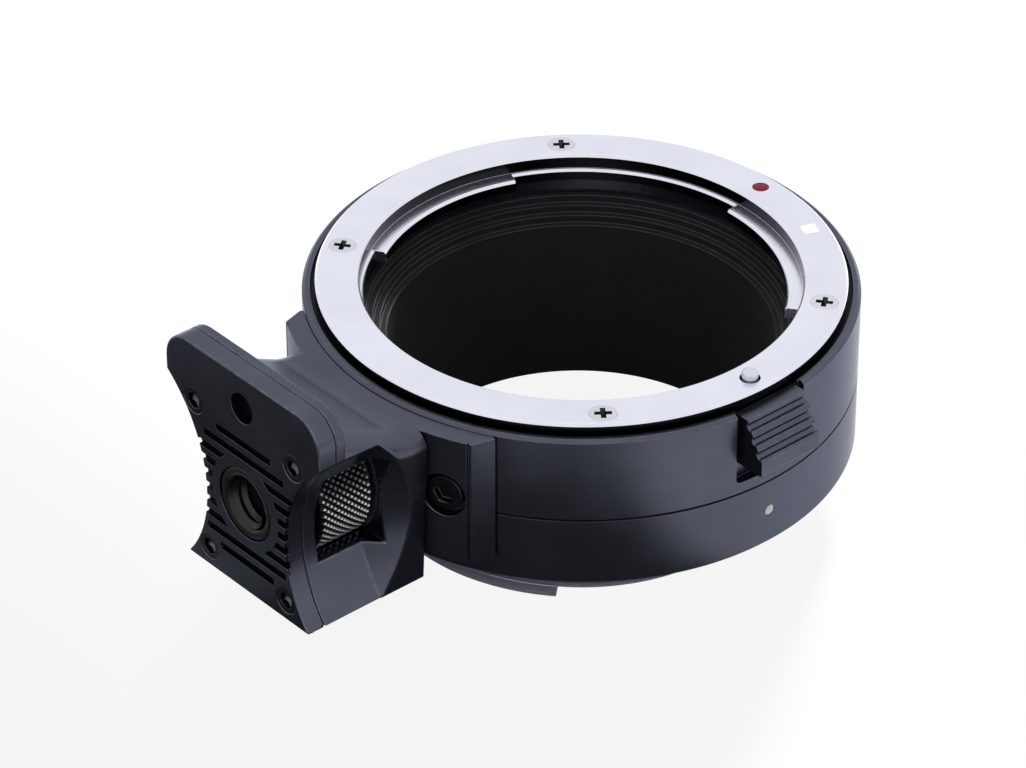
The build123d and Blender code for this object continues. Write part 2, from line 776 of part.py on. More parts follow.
# Release slider: a ribbed wedge in the barrel's pocket, with a stem through the slot behind it.
slider_half_width = pocket_half_width - slider_side_gap
slope_top = (barrel_r + slider_top_rise, slider_top_z)
slope_knee = (barrel_r + slider_lip_rise, slider_knee_z)
rib_grooves = [
    (
        slope_top[0] + (slope_knee[0] - slope_top[0]) * (i + 0.5) / rib_count,
        slope_top[1] + (slope_knee[1] - slope_top[1]) * (i + 0.5) / rib_count,
    )
    for i in range(rib_count)
]
with BuildPart() as release_slider:
    with BuildSketch(Plane.XZ):
        with BuildLine():
            Polyline(
                (slider_x, slider_top_z),
                slope_top,
                slope_knee,
                (barrel_r + slider_lip_rise, slider_bottom_z),
                (slider_x, slider_bottom_z),
                close=True,
            )
        make_face()
        with Locations(*rib_grooves):
            Circle(rib_groove_r, mode=Mode.SUBTRACT)
    extrude(amount=slider_half_width, both=True)
    chamfer(release_slider.edges().group_by(Axis.Z)[0].filter_by(Axis.Y), slider_edge)
    with BuildSketch(Plane.YZ.offset(stem_x)):
        with Locations((0, stem_z)):
            Rectangle(2 * stem_half_width, stem_height, align=(Align.CENTER, Align.MIN))
    extrude(amount=slider_x - stem_x)
    with BuildSketch(Plane.YZ.offset(stem_x)):
        with Locations((0, arm_z)):
            Rectangle(2 * pocket_half_width, arm_thickness, align=(Align.CENTER, Align.MIN))
    extrude(amount=arm_tongue, mode=Mode.SUBTRACT)
finish(release_slider, "release_slider")

# Release arm: a steel strip from the stem's slot to the lock pin.
arm_inner_x = screw_circle_r - arm_inner_margin
arm_length = stem_x + arm_tongue - arm_inner_x
with BuildPart() as release_arm:
    with BuildSketch(Plane.XY.offset(arm_z)):
        with Locations((arm_inner_x, 0)):
            Rectangle(arm_length, 2 * stem_half_width, align=(Align.MIN, Align.CENTER))
        with Locations(spring_place):
            Circle(lock_pin_shank_r + thread_clearance, mode=Mode.SUBTRACT)
    extrude(amount=arm_thickness)
finish(release_arm, "release_arm")

# Lock pin: its shank is staked in the arm and its nose stands through the front ring.
with BuildPart() as lock_pin:
    with BuildSketch(Plane.XY.offset(arm_z)):
        with Locations(spring_place):
            Circle(lock_pin_shank_r)
    extrude(amount=arm_thickness)
    with BuildSketch(Plane.XY.offset(arm_top_z)):
        with Locations(spring_place):
            Circle(lock_pin_r)
    extrude(amount=front_z + lock_pin_rise - arm_top_z)
    chamfer(lock_pin.edges().group_by(Axis.Z)[-1], lock_pin_tip)
finish(lock_pin, "lock_pin")

# Lock spring: a coil between the lower barrel's seat and the arm.
coil_height = arm_z - spring_z - 2 * (spring_wire_r + thread_clearance)
coil_z = spring_z + spring_wire_r + thread_clearance
coil_place = Location((spring_place[0], spring_place[1], coil_z))
with BuildPart() as lock_spring:
    with BuildLine(Plane(coil_place)) as coil:
        Helix(pitch=coil_height / spring_turns, height=coil_height, radius=spring_r)
    with BuildSketch(Plane(origin=coil.line @ 0, z_dir=coil.line % 0)):
        Circle(spring_wire_r)
    sweep(path=coil.line)
finish(lock_spring, "lock_spring")

# Foot seat: a curved pad on the barrel that the foot is drawn against.
with BuildPart() as foot_seat:
    with BuildSketch(Plane.XY.offset(seat_bottom_z)):
        with BuildLine():
            inner_r = barrel_r + thread_clearance
            wide = seat_half_deg + seat_draft_deg
            top_arc = CenterArc((0, 0), seat_r, 270 - seat_half_deg, 2 * seat_half_deg)
            base_arc = CenterArc((0, 0), inner_r, 270 - wide, 2 * wide)
            Line(top_arc @ 0, base_arc @ 0)
            Line(top_arc @ 1, base_arc @ 1)
        make_face()
    extrude(amount=seat_top_z - seat_bottom_z)
    with BuildSketch(facing_foot(0)):
        with Locations((0, foot_axis_z)):
            Circle(stud_r + thread_clearance)
        with Locations(*locating_pin_places):
            Circle(locating_pin_r)
    extrude(amount=seat_r, mode=Mode.SUBTRACT)
    for side in (-1, 1):
        with Locations(facing_out(seat_r, 270 + side * seat_screw_side_deg, foot_axis_z)):
            CounterBoreHole(
                seat_screw_shank_r + thread_clearance,
                seat_counterbore_r,
                seat_counterbore_depth,
                depth=2 * seat_height,
            )
finish(foot_seat, "foot_seat")

# Screws that hold the seat to the barrel, half hidden by the foot.
with BuildPart() as foot_seat_screws:
    for side in (-1, 1):
        head_seat_r = seat_r - seat_counterbore_depth
        with Locations(facing_out(head_seat_r, 270 + side * seat_screw_side_deg, foot_axis_z)):
            add(
                pan_screw(
                    seat_screw_head_r,
                    seat_screw_head_height,
                    seat_screw_shank_r,
                    head_seat_r - barrel_inner_r,
                )
            )
finish(foot_seat_screws, "foot_seat_screws")

# Locating pins: pressed into the seat, they stop the foot from turning on its screw.
pin_seat_y = -sqrt(seat_r**2 - locating_pin_x**2)
with BuildPart() as locating_pins:
    with BuildSketch(facing_foot(pin_seat_y + locating_pin_seat_depth)):
        with Locations(*locating_pin_places):
            Circle(locating_pin_r)
    extrude(amount=locating_pin_seat_depth + locating_pin_reach)
    chamfer(locating_pins.edges().group_by(Axis.Y)[0], locating_pin_tip)
finish(locating_pins, "locating_pins")

# Foot body: a neck with a sloping top, drafted sides and a waisted flange. A scoop with a coned
# end on each side makes room for the fingers, and the bore from the seat's end takes the
# thumbwheel, which shows through a window in each scoop.
with BuildPart() as foot_body:
    with BuildSketch(Plane.YZ):
        with BuildLine():
            Polyline(
                (flange_back_y, foot_bottom_z),
                (-barrel_r, foot_bottom_z),
                (-barrel_r, neck_top_z),
                (-foot_end_r, neck_top_z),
                (flange_back_y, neck_top_z + neck_rise),
                close=True,
            )
        make_face()
    extrude(amount=neck_half_width, both=True)
    with BuildSketch(facing_foot(-barrel_r)):
        with BuildLine():
            Polyline(
                (-neck_half_width + neck_draft, foot_bottom_z),
                (neck_half_width - neck_draft, foot_bottom_z),
                (neck_half_width, neck_top_z + neck_rise),
                (-neck_half_width, neck_top_z + neck_rise),
                close=True,
            )
        make_face()
    extrude(amount=-barrel_r - flange_back_y, mode=Mode.INTERSECT)
    fillet(foot_body.edges().filter_by(Axis.X, reverse=True).group_by(Axis.Z)[-1], neck_edge_r)
    with BuildSketch(facing_foot(flange_back_y)):
        foot_outline()
    extrude(amount=plate_flange)
    with BuildSketch(Plane.XY.offset(foot_bottom_z)):
        Circle(foot_end_r)
    extrude(amount=foot_top_z, mode=Mode.SUBTRACT)
    with BuildSketch(facing_foot(dish_floor_y)):
        with Locations(*dish_places):
            Circle(dish_r)
    extrude(amount=dish_floor_y - plate_back_y, mode=Mode.SUBTRACT)
    for x, z in dish_places:
        with Locations(Plane(origin=(x, dish_floor_y, z), x_dir=(1, 0, 0), z_dir=(0, 1, 0))):
            Cone(
                dish_r,
                dish_r - dish_wall,
                dish_wall,
                align=(Align.CENTER, Align.CENTER, Align.MIN),
                mode=Mode.SUBTRACT,
            )
    with BuildSketch(facing_foot(-barrel_r)):
        with Locations((0, foot_axis_z)):
            Circle(wheel_bore_r)
    extrude(amount=-barrel_r - bore_floor_y, mode=Mode.SUBTRACT)
    with BuildSketch(facing_foot(retainer_y)):
        with Locations((0, foot_axis_z)):
            Rectangle(4 * foot_half_width, window_height)
    extrude(amount=retainer_y - bore_floor_y, mode=Mode.SUBTRACT)
    with BuildSketch(facing_foot(plate_back_y)):
        with Locations((0, foot_axis_z)):
            Circle(bushing_flange_r + assembly_clearance)
    extrude(amount=-bushing_flange_thickness - running_clearance, mode=Mode.SUBTRACT)
    with BuildSketch(facing_foot(plate_back_y)):
        with Locations(*plate_screw_places):
            Circle(plate_screw_shank_r + thread_clearance)
    extrude(amount=-(plate_screw_length - plate_thickness) - thread_clearance, mode=Mode.SUBTRACT)
    with BuildSketch(facing_foot(plate_back_y)):
        with Locations((0, anti_twist_z)):
            Circle(anti_twist_r)
    extrude(amount=-(anti_twist_depth - plate_thickness), mode=Mode.SUBTRACT)
    with BuildSketch(facing_foot(-barrel_r)):
        with Locations(*locating_pin_places):
            Circle(locating_pin_r + assembly_clearance)
    extrude(amount=-pin_seat_y - barrel_r + locating_pin_reach + assembly_clearance, mode=Mode.SUBTRACT)
finish(foot_body, "foot_body")

# Base plate of the foot: its face has horizontal grooves round a plain boss for the tripod.
groove_levels = [(i - (groove_count - 1) / 2) * groove_pitch for i in range(groove_count)]
with BuildPart() as foot_base_plate:
    with BuildSketch(facing_foot(plate_back_y)):
        foot_outline()
    extrude(amount=plate_thickness)
    chamfer(foot_base_plate.edges().group_by(Axis.Y)[0], foot_edge)
    with BuildSketch(facing_foot(foot_face_y)):
        for level in groove_levels:
            with Locations((0, foot_axis_z + level)):
                Rectangle(2 * sqrt(groove_field_r**2 - level**2), groove_width)
        with Locations((0, foot_axis_z)):
            Circle(groove_boss_r, mode=Mode.SUBTRACT)
    extrude(amount=-groove_depth, mode=Mode.SUBTRACT)
    with BuildSketch(facing_foot(foot_face_y)):
        with Locations((0, foot_axis_z)):
            Circle(bushing_r + thread_clearance)
        with Locations((0, anti_twist_z)):
            Circle(anti_twist_r)
    extrude(amount=-plate_thickness, mode=Mode.SUBTRACT)
    for x, z in plate_screw_places:
        with Locations(Plane(origin=(x, foot_face_y, z), x_dir=(1, 0, 0), z_dir=(0, -1, 0))):
            CounterSinkHole(
                plate_screw_shank_r + thread_clearance,
                plate_screw_head_r + thread_clearance + mark_sink,
                depth=plate_thickness,
                counter_sink_angle=countersink_deg,
            )
finish(foot_base_plate, "foot_base_plate")

# Countersunk screws of the base plate.
with BuildPart() as foot_plate_screws:
    for x, z in plate_screw_places:
        with Locations(Plane(origin=(x, foot_face_y + mark_sink, z), x_dir=(1, 0, 0), z_dir=(0, -1, 0))):
            add(countersunk_screw(plate_screw_head_r, plate_screw_shank_r, plate_screw_length - mark_sink))
finish(foot_plate_screws, "foot_plate_screws")

# Tripod bushing: a steel nut whose flange is trapped behind the base plate.
with BuildPart() as tripod_bushing:
    with BuildSketch(facing_foot(plate_back_y)):
        with Locations((0, foot_axis_z)):
            Circle(bushing_r)
    extrude(amount=plate_thickness - bushing_sink)
    with BuildSketch(facing_foot(plate_back_y)):
        with Locations((0, foot_axis_z)):
            Circle(bushing_flange_r)
    extrude(amount=-bushing_flange_thickness)
    with BuildSketch(facing_foot(foot_face_y)):
        with Locations((0, foot_axis_z)):
            Circle(tripod_thread_r)
    extrude(amount=-plate_thickness - bushing_flange_thickness, mode=Mode.SUBTRACT)
finish(tripod_bushing, "tripod_bushing")

# Thumbwheel: a knurled steel drum, turned by the finger tips through the windows.
with BuildPart() as thumbwheel:
    with BuildSketch(facing_foot(wheel_end_y)):
        with Locations((0, foot_axis_z)):
            Circle(wheel_r)
    extrude(amount=wheel_length)
    chamfer(thumbwheel.edges(), wheel_edge)
    with BuildSketch(facing_foot(wheel_end_y)):
        with Locations((0, foot_axis_z)):
            with PolarLocations(wheel_r, knurl_count):
                Rectangle(sqrt(2) * knurl_depth, sqrt(2) * knurl_depth, rotation=45)
    extrude(amount=wheel_length, mode=Mode.SUBTRACT)
    with BuildSketch(facing_foot(wheel_end_y)):
        with Locations((0, foot_axis_z)):
            Circle(stud_r + thread_clearance)
    extrude(amount=stud_embed, mode=Mode.SUBTRACT)
finish(thumbwheel, "thumbwheel")

# Stud: pressed into the wheel, it screws into the seat and draws the foot home.
with BuildPart() as thumbwheel_stud:
    with BuildSketch(facing_foot(stud_tip_y)):
        with Locations((0, foot_axis_z)):
            Circle(stud_r)
    extrude(amount=stud_tip_y - wheel_end_y + stud_embed)
    chamfer(thumbwheel_stud.edges().group_by(Axis.Y)[-1], stud_tip)
finish(thumbwheel_stud, "thumbwheel_stud")

# Retainer: a threaded disc that keeps the wheel in its bore.
with BuildPart() as wheel_retainer:
    with BuildSketch(facing_foot(retainer_y + retainer_thickness)):
        with Locations((0, foot_axis_z)):
            Circle(wheel_bore_r - thread_clearance)
            Circle(stud_r + stud_hole_gap, mode=Mode.SUBTRACT)
            with PolarLocations(retainer_spanner_circle, 2):
                Circle(retainer_spanner_r, mode=Mode.SUBTRACT)
    extrude(amount=retainer_thickness)
finish(wheel_retainer, "wheel_retainer")
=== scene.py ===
from math import asin, cos, degrees, pi, radians, sin, sqrt

import bmesh
import bpy
from mathutils import Matrix, Vector


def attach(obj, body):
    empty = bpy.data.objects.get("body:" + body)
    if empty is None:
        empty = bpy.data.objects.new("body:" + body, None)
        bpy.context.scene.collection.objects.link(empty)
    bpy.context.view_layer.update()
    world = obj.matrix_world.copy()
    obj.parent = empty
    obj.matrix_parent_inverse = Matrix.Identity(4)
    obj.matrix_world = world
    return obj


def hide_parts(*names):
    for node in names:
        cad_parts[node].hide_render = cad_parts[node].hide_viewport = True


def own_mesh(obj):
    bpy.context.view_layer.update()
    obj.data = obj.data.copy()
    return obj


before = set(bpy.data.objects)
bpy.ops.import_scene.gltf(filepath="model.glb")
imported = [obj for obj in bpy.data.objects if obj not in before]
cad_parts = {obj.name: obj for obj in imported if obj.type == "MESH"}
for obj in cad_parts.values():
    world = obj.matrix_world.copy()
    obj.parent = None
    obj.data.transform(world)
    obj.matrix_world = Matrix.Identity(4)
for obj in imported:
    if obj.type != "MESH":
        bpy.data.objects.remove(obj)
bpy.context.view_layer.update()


# Lower barrel: a turned aluminium cup, bead blasted and anodised black. Its stepped rear face
# carries the camera bayonet, and a dot drilled in its side holds the camera index.
def turned(section, steps=192, arc=360, start=0, bm=None):
    """Spin a closed section of (radius, height) points about the optical axis."""
    bm = bm or bmesh.new()
    a = radians(start)
    points = [bm.verts.new((r * cos(a), r * sin(a), z)) for r, z in section]
    if arc == 360:
        geom = points + [bm.edges.new((points[i - 1], points[i])) for i in range(len(points))]
    else:
        geom = [bm.faces.new(points)]
    bmesh.ops.spin(bm, geom=geom, cent=(0, 0, 0), axis=(0, 0, 1), angle=radians(arc), steps=steps,
                   use_merge=arc == 360)
    bmesh.ops.remove_doubles(bm, verts=bm.verts, dist=0.001)
    bmesh.ops.delete(bm, geom=[e for e in bm.edges if not e.link_faces], context="EDGES")
    bmesh.ops.recalc_face_normals(bm, faces=bm.faces)
    return bm


def rod(bm, start, end, r, end_r=None, segments=48):
    """A round bar or cone between two points."""
    a, b = Vector(start), Vector(end)
    turn = (b - a).to_track_quat("Z", "Y").to_matrix().to_4x4()
    bmesh.ops.create_cone(bm, cap_ends=True, segments=segments, radius1=r,
                          radius2=r if end_r is None else end_r, depth=(b - a).length,
                          matrix=Matrix.Translation((a + b) / 2) @ turn)
    return bm


def machined(bm, tool, how="DIFFERENCE"):
    """Mill a tool's shape out of a blank, or weld it on."""
    blank, cutter = [bpy.data.objects.new(n, bpy.data.meshes.new(n)) for n in ("blank", "cutter")]
    for o, b in ((blank, bm), (cutter, tool)):
        bmesh.ops.recalc_face_normals(b, faces=b.faces)
        b.to_mesh(o.data)
        bpy.context.scene.collection.objects.link(o)
    cut = blank.modifiers.new("cut", "BOOLEAN")
    cut.object, cut.operation, cut.solver = cutter, how, "EXACT"
    done = blank.evaluated_get(bpy.context.evaluated_depsgraph_get())
    bm.clear()
    bm.from_mesh(done.to_mesh())
    tool.free()
    for o in (blank, cutter):
        mesh = o.data
        bpy.data.objects.remove(o)
        bpy.data.meshes.remove(mesh)
    bmesh.ops.remove_doubles(bm, verts=bm.verts, dist=0.004)
    bmesh.ops.dissolve_degenerate(bm, edges=bm.edges, dist=0.004)
    bmesh.ops.dissolve_limit(bm, angle_limit=radians(0.4), verts=bm.verts, edges=bm.edges)
    return bm


def eased(bm, width, segments=2, sharper_than=24):
    """Break the sharp edges, and mark the new faces so that a finish can show wear there; the black plastic
    shows a painted highlight there.
    """
    mark = bm.faces.layers.float.get("edge") or bm.faces.layers.float.new("edge")
    sharp = [e for e in bm.edges
             if len(e.link_faces) == 2 and e.calc_face_angle(0) > radians(sharper_than)]
    new = bmesh.ops.bevel(bm, geom=sharp, offset=width, offset_type="OFFSET", segments=segments,
                          profile=0.5, affect="EDGES", clamp_overlap=False, material=-1)
    for face in new["faces"]:
        face[mark] = 1
    return bm


def paint_shade(bm, chosen):
    """Mark faces for painted shade: a near-black colour on deep recesses, grooves, gaps and bores, where
    shade falls.
    """
    mark = bm.faces.layers.float.get("dark") or bm.faces.layers.float.new("dark")
    for face in bm.faces:
        if chosen(face.calc_center_median(), face.normal):
            face[mark] = 1
    return bm


def fitted(bm, name, body, slot, finish, *nodes):
    """Bring a piece from millimetres into the frame and seat it on its body."""
    bmesh.ops.scale(bm, vec=(0.001, 0.001, 0.001), verts=bm.verts)
    for face in bm.faces:
        face.smooth = True
    mesh = bpy.data.meshes.new(name)
    bm.to_mesh(mesh)
    bm.free()
    mesh.set_sharp_from_angle(angle=radians(50))
    mesh.materials.append(finish)
    piece = bpy.data.objects.new(name, mesh)
    bpy.context.scene.collection.objects.link(piece)
    flats = piece.modifiers.new("flats", "WEIGHTED_NORMAL")
    flats.keep_sharp = True
    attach(piece, body)
    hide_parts(*nodes)
    return piece


def plugged(tree, node, inputs):
    """Link or set a shader node's inputs."""
    for key, value in inputs.items():
        if isinstance(value, bpy.types.NodeSocket):
            tree.links.new(value, node.inputs[key])
        else:
            node.inputs[key].default_value = value
    return node


def wired(tree, kind, inputs=None, **settings):
    """Add a shader node, set it, and link or set its inputs."""
    node = tree.nodes.new(kind)
    for key, value in settings.items():
        setattr(node, key, value)
    return plugged(tree, node, inputs or {})


def effect(name, inputs, outputs):
    """An empty shader group with its value sockets."""
    group = bpy.data.node_groups.new(name, "ShaderNodeTree")
    for label, value in inputs.items():
        socket = group.interface.new_socket(label, in_out="INPUT", socket_type="NodeSocketFloat")
        socket.default_value = value
    for label in outputs:
        group.interface.new_socket(label, in_out="OUTPUT", socket_type="NodeSocketFloat")
    return group, wired(group, "NodeGroupInput"), wired(group, "NodeGroupOutput")


def ramp(tree, value, *stops):
    """A colour ramp from a value: (place, colour) pairs."""
    node = wired(tree, "ShaderNodeValToRGB", {"Fac": value})
    points = node.color_ramp.elements
    while len(points) < len(stops):
        points.new(0.5)
    for point, (place, colour) in zip(points, stops):
        point.position, point.color = place, (*colour, 1)
    return node.outputs["Color"]


def spread(tree, value, low, high, start=0.3, end=0.7):
    """Stretch the middle of a noise over a range of values."""
    node = wired(tree, "ShaderNodeMapRange", {"Value": value, "From Min": start, "From Max": end,
                                              "To Min": low, "To Max": high})
    return node.outputs["Result"]


def mixed(tree, factor, a, b):
    """Blend two colours by a mask."""
    node = wired(tree, "ShaderNodeMix", data_type="RGBA")
    for key, value in (("Factor_Float", factor), ("A_Color", a), ("B_Color", b)):
        socket = next(s for s in node.inputs if s.identifier == key)
        if isinstance(value, bpy.types.NodeSocket):
            tree.links.new(value, socket)
        else:
            socket.default_value = value
    return next(s for s in node.outputs if s.identifier == "Result_Color")


def coating(name):
    """A new material, with its node tree and its shader."""
    material = bpy.data.materials.new(name)
    material.use_nodes = True
    return material, material.node_tree, material.node_tree.nodes["Principled BSDF"]


def marked(tree, layer):
    """The mask that a piece's own faces or points carry."""
    node = wired(tree, "ShaderNodeAttribute", attribute_name=layer, attribute_type="GEOMETRY")
    return node.outputs["Fac"]


def bumped(tree, height, strength, depth):
    """The normals of a fine relief, its depth in metres."""
    node = wired(tree, "ShaderNodeBump", {"Height": height, "Strength": strength, "Distance": depth})
    return node.outputs["Normal"]


def grouped(tree, group, **inputs):
    """The outputs of a shared effect."""
    return wired(tree, "ShaderNodeGroup", inputs, node_tree=group).outputs


# Blasted skin: fine dimples left by the beads, and the soft cloudiness of the dye.
blasted, given, out = effect("blasted_skin", {"Scale": 5000.0}, ("Dimples", "Cloud"))
place = wired(blasted, "ShaderNodeTexCoord").outputs["Object"]
dimples = wired(blasted, "ShaderNodeTexNoise", {"Vector": place, "Scale": given.outputs["Scale"],
                                                "Detail": 3.0, "Roughness": 0.6})
cloud = wired(blasted, "ShaderNodeTexNoise", {"Vector": place, "Scale": 110.0,
                                              "Detail": 4.0, "Roughness": 0.55})
plugged(blasted, out, {"Dimples": dimples.outputs["Fac"], "Cloud": cloud.outputs["Fac"]})

# Edge wear: broken patches along the eased edges, where hands and bags rub.
wear, given, out = effect("edge_wear", {"Amount": 0.5, "Scale": 900.0}, ("Mask",))
place = wired(wear, "ShaderNodeTexCoord").outputs["Object"]
patches = wired(wear, "ShaderNodeTexNoise", {"Vector": place, "Scale": given.outputs["Scale"],
                                             "Detail": 3.0})
worn = spread(wear, patches.outputs["Fac"], 0.0, 1.0, 0.35, 0.65)
some = wired(wear, "ShaderNodeMath", {0: worn, 1: marked(wear, "edge")}, operation="MULTIPLY")
mask = wired(wear, "ShaderNodeMath", {0: some.outputs["Value"], 1: given.outputs["Amount"]},
             operation="MULTIPLY")
plugged(wear, out, {"Mask": mask.outputs["Value"]})

# Black anodising: a dark dyed film on blasted metal, so reflections are dimmed and slightly blue.
black_anodised, tree, shader = coating("black_anodised")
skin = grouped(tree, blasted)
dye = ramp(tree, skin["Cloud"], (0.3, (0.077, 0.083, 0.110)), (0.7, (0.096, 0.104, 0.138)))
film = mixed(tree, grouped(tree, wear)["Mask"], dye, (0.17, 0.18, 0.21, 1))
# Faces marked dark get painted shade: a near-black base colour.
plugged(tree, shader, {
    "Base Color": mixed(tree, marked(tree, "dark"), film, (0.006, 0.006, 0.007, 1)),
    "Roughness": spread(tree, skin["Cloud"], 0.22, 0.30),
    "Metallic": 0.92,
    "Specular Tint": (0.66, 0.68, 0.74, 1),
    "Normal": bumped(tree, skin["Dimples"], 0.2, 0.00004)})

barrel_r, wall_r, lap_r = 34.0, 31.4, 32.65
rear_boss_r, rear_bore_r, board_r = 29.1, 24.7, 30.4
rear_z, boss_z, floor_z, board_z, lap_z, seam_z = 4, 1.8, 6, 9, 11.3, 13.4
seam_chamfer, rear_chamfer = 0.14, 0.6
lower = turned([(barrel_r - seam_chamfer, seam_z), (barrel_r, seam_z - seam_chamfer),
                (barrel_r, rear_z + rear_chamfer), (barrel_r - rear_chamfer, rear_z), (rear_boss_r, rear_z),
                (rear_boss_r, boss_z), (rear_bore_r, boss_z), (rear_bore_r, floor_z), (board_r, floor_z),
                (board_r, board_z), (wall_r, board_z), (wall_r, lap_z), (lap_r, lap_z), (lap_r, seam_z)])
camera_dot_z, camera_dot_r = 9.0, 0.75
machined(lower, rod(bmesh.new(), (33.6, 0, camera_dot_z), (35, 0, camera_dot_z), camera_dot_r))
# The seam chamfer is painted dark as shade.
paint_shade(lower, lambda at, n: at.z > seam_z - 0.15)
eased(lower, 0.05)
fitted(lower, "lower_barrel_turned", "adapter", "black_anodised", black_anodised, "lower_barrel")


# Circuit board: an arc of glass laminate under green solder resist with copper tracks, and four
# moulded chips soldered on it. It rests on the lower barrel's ledge and keeps its CAD shape.
def dressed(finish, *nodes):
    """Give carried-over nodes their finish."""
    for node in nodes:
        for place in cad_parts[node].material_slots:
            place.material = finish


board_laminate, tree, shader = coating("board_laminate")
place = wired(tree, "ShaderNodeTexCoord").outputs["Object"]
tracks = wired(tree, "ShaderNodeTexBrick", {
    "Vector": place, "Scale": 260.0, "Mortar Size": 0.06,
    "Mortar": (1, 1, 1, 1), "Color1": (0, 0, 0, 1), "Color2": (0, 0, 0, 1)}).outputs["Color"]
weave = wired(tree, "ShaderNodeTexChecker", {
    "Vector": place, "Scale": 2400.0,
    "Color1": (0.012, 0.075, 0.03, 1), "Color2": (0.016, 0.095, 0.04, 1)}).outputs["Color"]
plugged(tree, shader, {
    "Base Color": mixed(tree, tracks, weave, (0.05, 0.19, 0.07, 1)),
    "Roughness": spread(tree, tracks, 0.45, 0.32, 0, 1),
    "Normal": bumped(tree, tracks, 0.4, 0.00003)})
chip_plastic, tree, shader = coating("chip_plastic")
grain = grouped(tree, blasted, Scale=9000.0)
plugged(tree, shader, {
    "Base Color": ramp(tree, grain["Cloud"], (0.3, (0.018, 0.018, 0.019)), (0.7, (0.028, 0.028, 0.029))),
    "Roughness": spread(tree, grain["Dimples"], 0.42, 0.58),
    "Normal": bumped(tree, grain["Dimples"], 0.3, 0.00003)})
dressed(board_laminate, "main_board")
dressed(chip_plastic, "board_chips")


# Light baffle: a tube moulded in matt black plastic, its mouth stepped to trap stray light. It is
# notched for the lens contacts, has a shelf for the camera contacts and lines the rear tube.
def block(bm, low, high):
    """A box between two corners."""
    a, b = Vector(low), Vector(high)
    size = Matrix.Diagonal((*(b - a), 1))
    bmesh.ops.create_cube(bm, size=1, matrix=Matrix.Translation((a + b) / 2) @ size)
    return bm


def band(inner_r, outer_r, low, high):
    """Section of a plain turned band."""
    return [(inner_r, low), (outer_r, low), (outer_r, high), (inner_r, high)]


black_plastic, tree, shader = coating("black_plastic")
grain = grouped(tree, blasted, Scale=3800.0)
tint = ramp(tree, grain["Cloud"], (0.3, (0.030, 0.0312, 0.0345)), (0.7, (0.041, 0.0424, 0.0465)))
# A painted highlight on the eased edges: a lighter colour on the bevel faces.
painted_edge_highlight = ramp(tree, grain["Cloud"], (0.3, (0.12, 0.123, 0.13)), (0.7, (0.24, 0.245, 0.26)))
plugged(tree, shader, {
    "Base Color": mixed(tree, marked(tree, "edge"), tint, painted_edge_highlight),
    "Roughness": spread(tree, grain["Dimples"], 0.5, 0.68),
    "Specular IOR Level": 0.4,
    "Normal": bumped(tree, grain["Dimples"], 0.35, 0.00005)})

flange_z, mouth_r, step = 20.6, 26.2, 0.8
stairs = [(mouth_r - step * i, flange_z - drop) for i in range(4) for drop in (i, i + 1)]
liner_r, liner_out_r, liner_end, liner_start = 22.3, 22.9, -3.6, 1.9
plug_r, waist_r, collar_r = 24.6, 26, 27.7
baffle = turned([*stairs, (liner_r, liner_start), (liner_r, liner_end), (liner_out_r, liner_end),
                 (liner_out_r, liner_start), (plug_r, liner_start), (plug_r, floor_z), (waist_r, floor_z),
                 (waist_r, 16.4), (collar_r, 18.2), (collar_r, flange_z)])
contact_deg, notch_deg, shelf_deg = 270, 50.5, 48
machined(baffle, turned(band(24.07, 29, 14.5, 22), 40, notch_deg, contact_deg - notch_deg / 2))
machined(baffle, turned(band(19.3, 22.6, 2, 4), 40, shelf_deg, contact_deg - shelf_deg / 2), "UNION")
eased(baffle, 0.1)
fitted(baffle, "light_baffle_moulded", "adapter", "black_plastic", black_plastic, "light_baffle")


# Lens contacts: gilt spring pins in a moulded arc, which two small screws hold in the baffle's
# notch. The block stands just below the lens bayonet's tabs.
def around(radius, angle, z=0.0):
    """Placement on a circle about the optical axis, turned with the circle."""
    return Matrix.Rotation(radians(angle), 4, "Z") @ Matrix.Translation((radius, 0, z))


def pitched(middle, count, pitch):
    """Evenly pitched angles about a middle one."""
    return [middle + (i - (count - 1) / 2) * pitch for i in range(count)]


def repeated(unit, places):
    """Copies of one shape at several places."""
    whole, mesh = bmesh.new(), bpy.data.meshes.new("unit")
    unit.to_mesh(mesh)
    unit.free()
    for place in places:
        before = len(whole.verts)
        whole.from_mesh(mesh)
        bmesh.ops.transform(whole, matrix=place, verts=list(whole.verts)[before:])
    bpy.data.meshes.remove(mesh)
    return whole


def cross(reach, depth):
    """Cutter of a cross recess, tapered towards its floor."""
    bm, arm, taper = bmesh.new(), 0.3 * reach, 0.62
    corner = [(arm, arm), (arm, reach), (-arm, reach)]
    quarters = [Matrix.Rotation(pi / 2 * i, 2) @ Vector(p) for i in range(4) for p in corner]
    outline = dict.fromkeys(map(tuple, quarters))
    floor = bm.faces.new([bm.verts.new((taper * x, taper * y, -depth)) for x, y in outline])
    lid = bmesh.ops.extrude_face_region(bm, geom=[floor])["geom"]
    top = [v for v in lid if isinstance(v, bmesh.types.BMVert)]
    bmesh.ops.scale(bm, vec=(1 / taper, 1 / taper, 1), verts=top)
    bmesh.ops.translate(bm, vec=(0, 0, depth + 0.2), verts=top)
    return bm


def pan_screw(head_r, head_height, shank_r, length):
    """Flat-seated screw with a cross recess: the top of its head is at the origin."""
    unit = turned([(0, 0), (head_r, 0), (head_r, -head_height), (shank_r, -head_height),
                   (shank_r, -length), (0, -length)], 48)
    recess_r, recess_end = 0.62 * head_r, 0.7 * head_height
    machined(unit, cross(recess_r, 0.65 * head_height))
    # The cross recess is marked for painted shade.
    paint_shade(unit, lambda at, n: -recess_end < at.z < -0.01 and at.xy.length < recess_r)
    return eased(unit, 0.06)


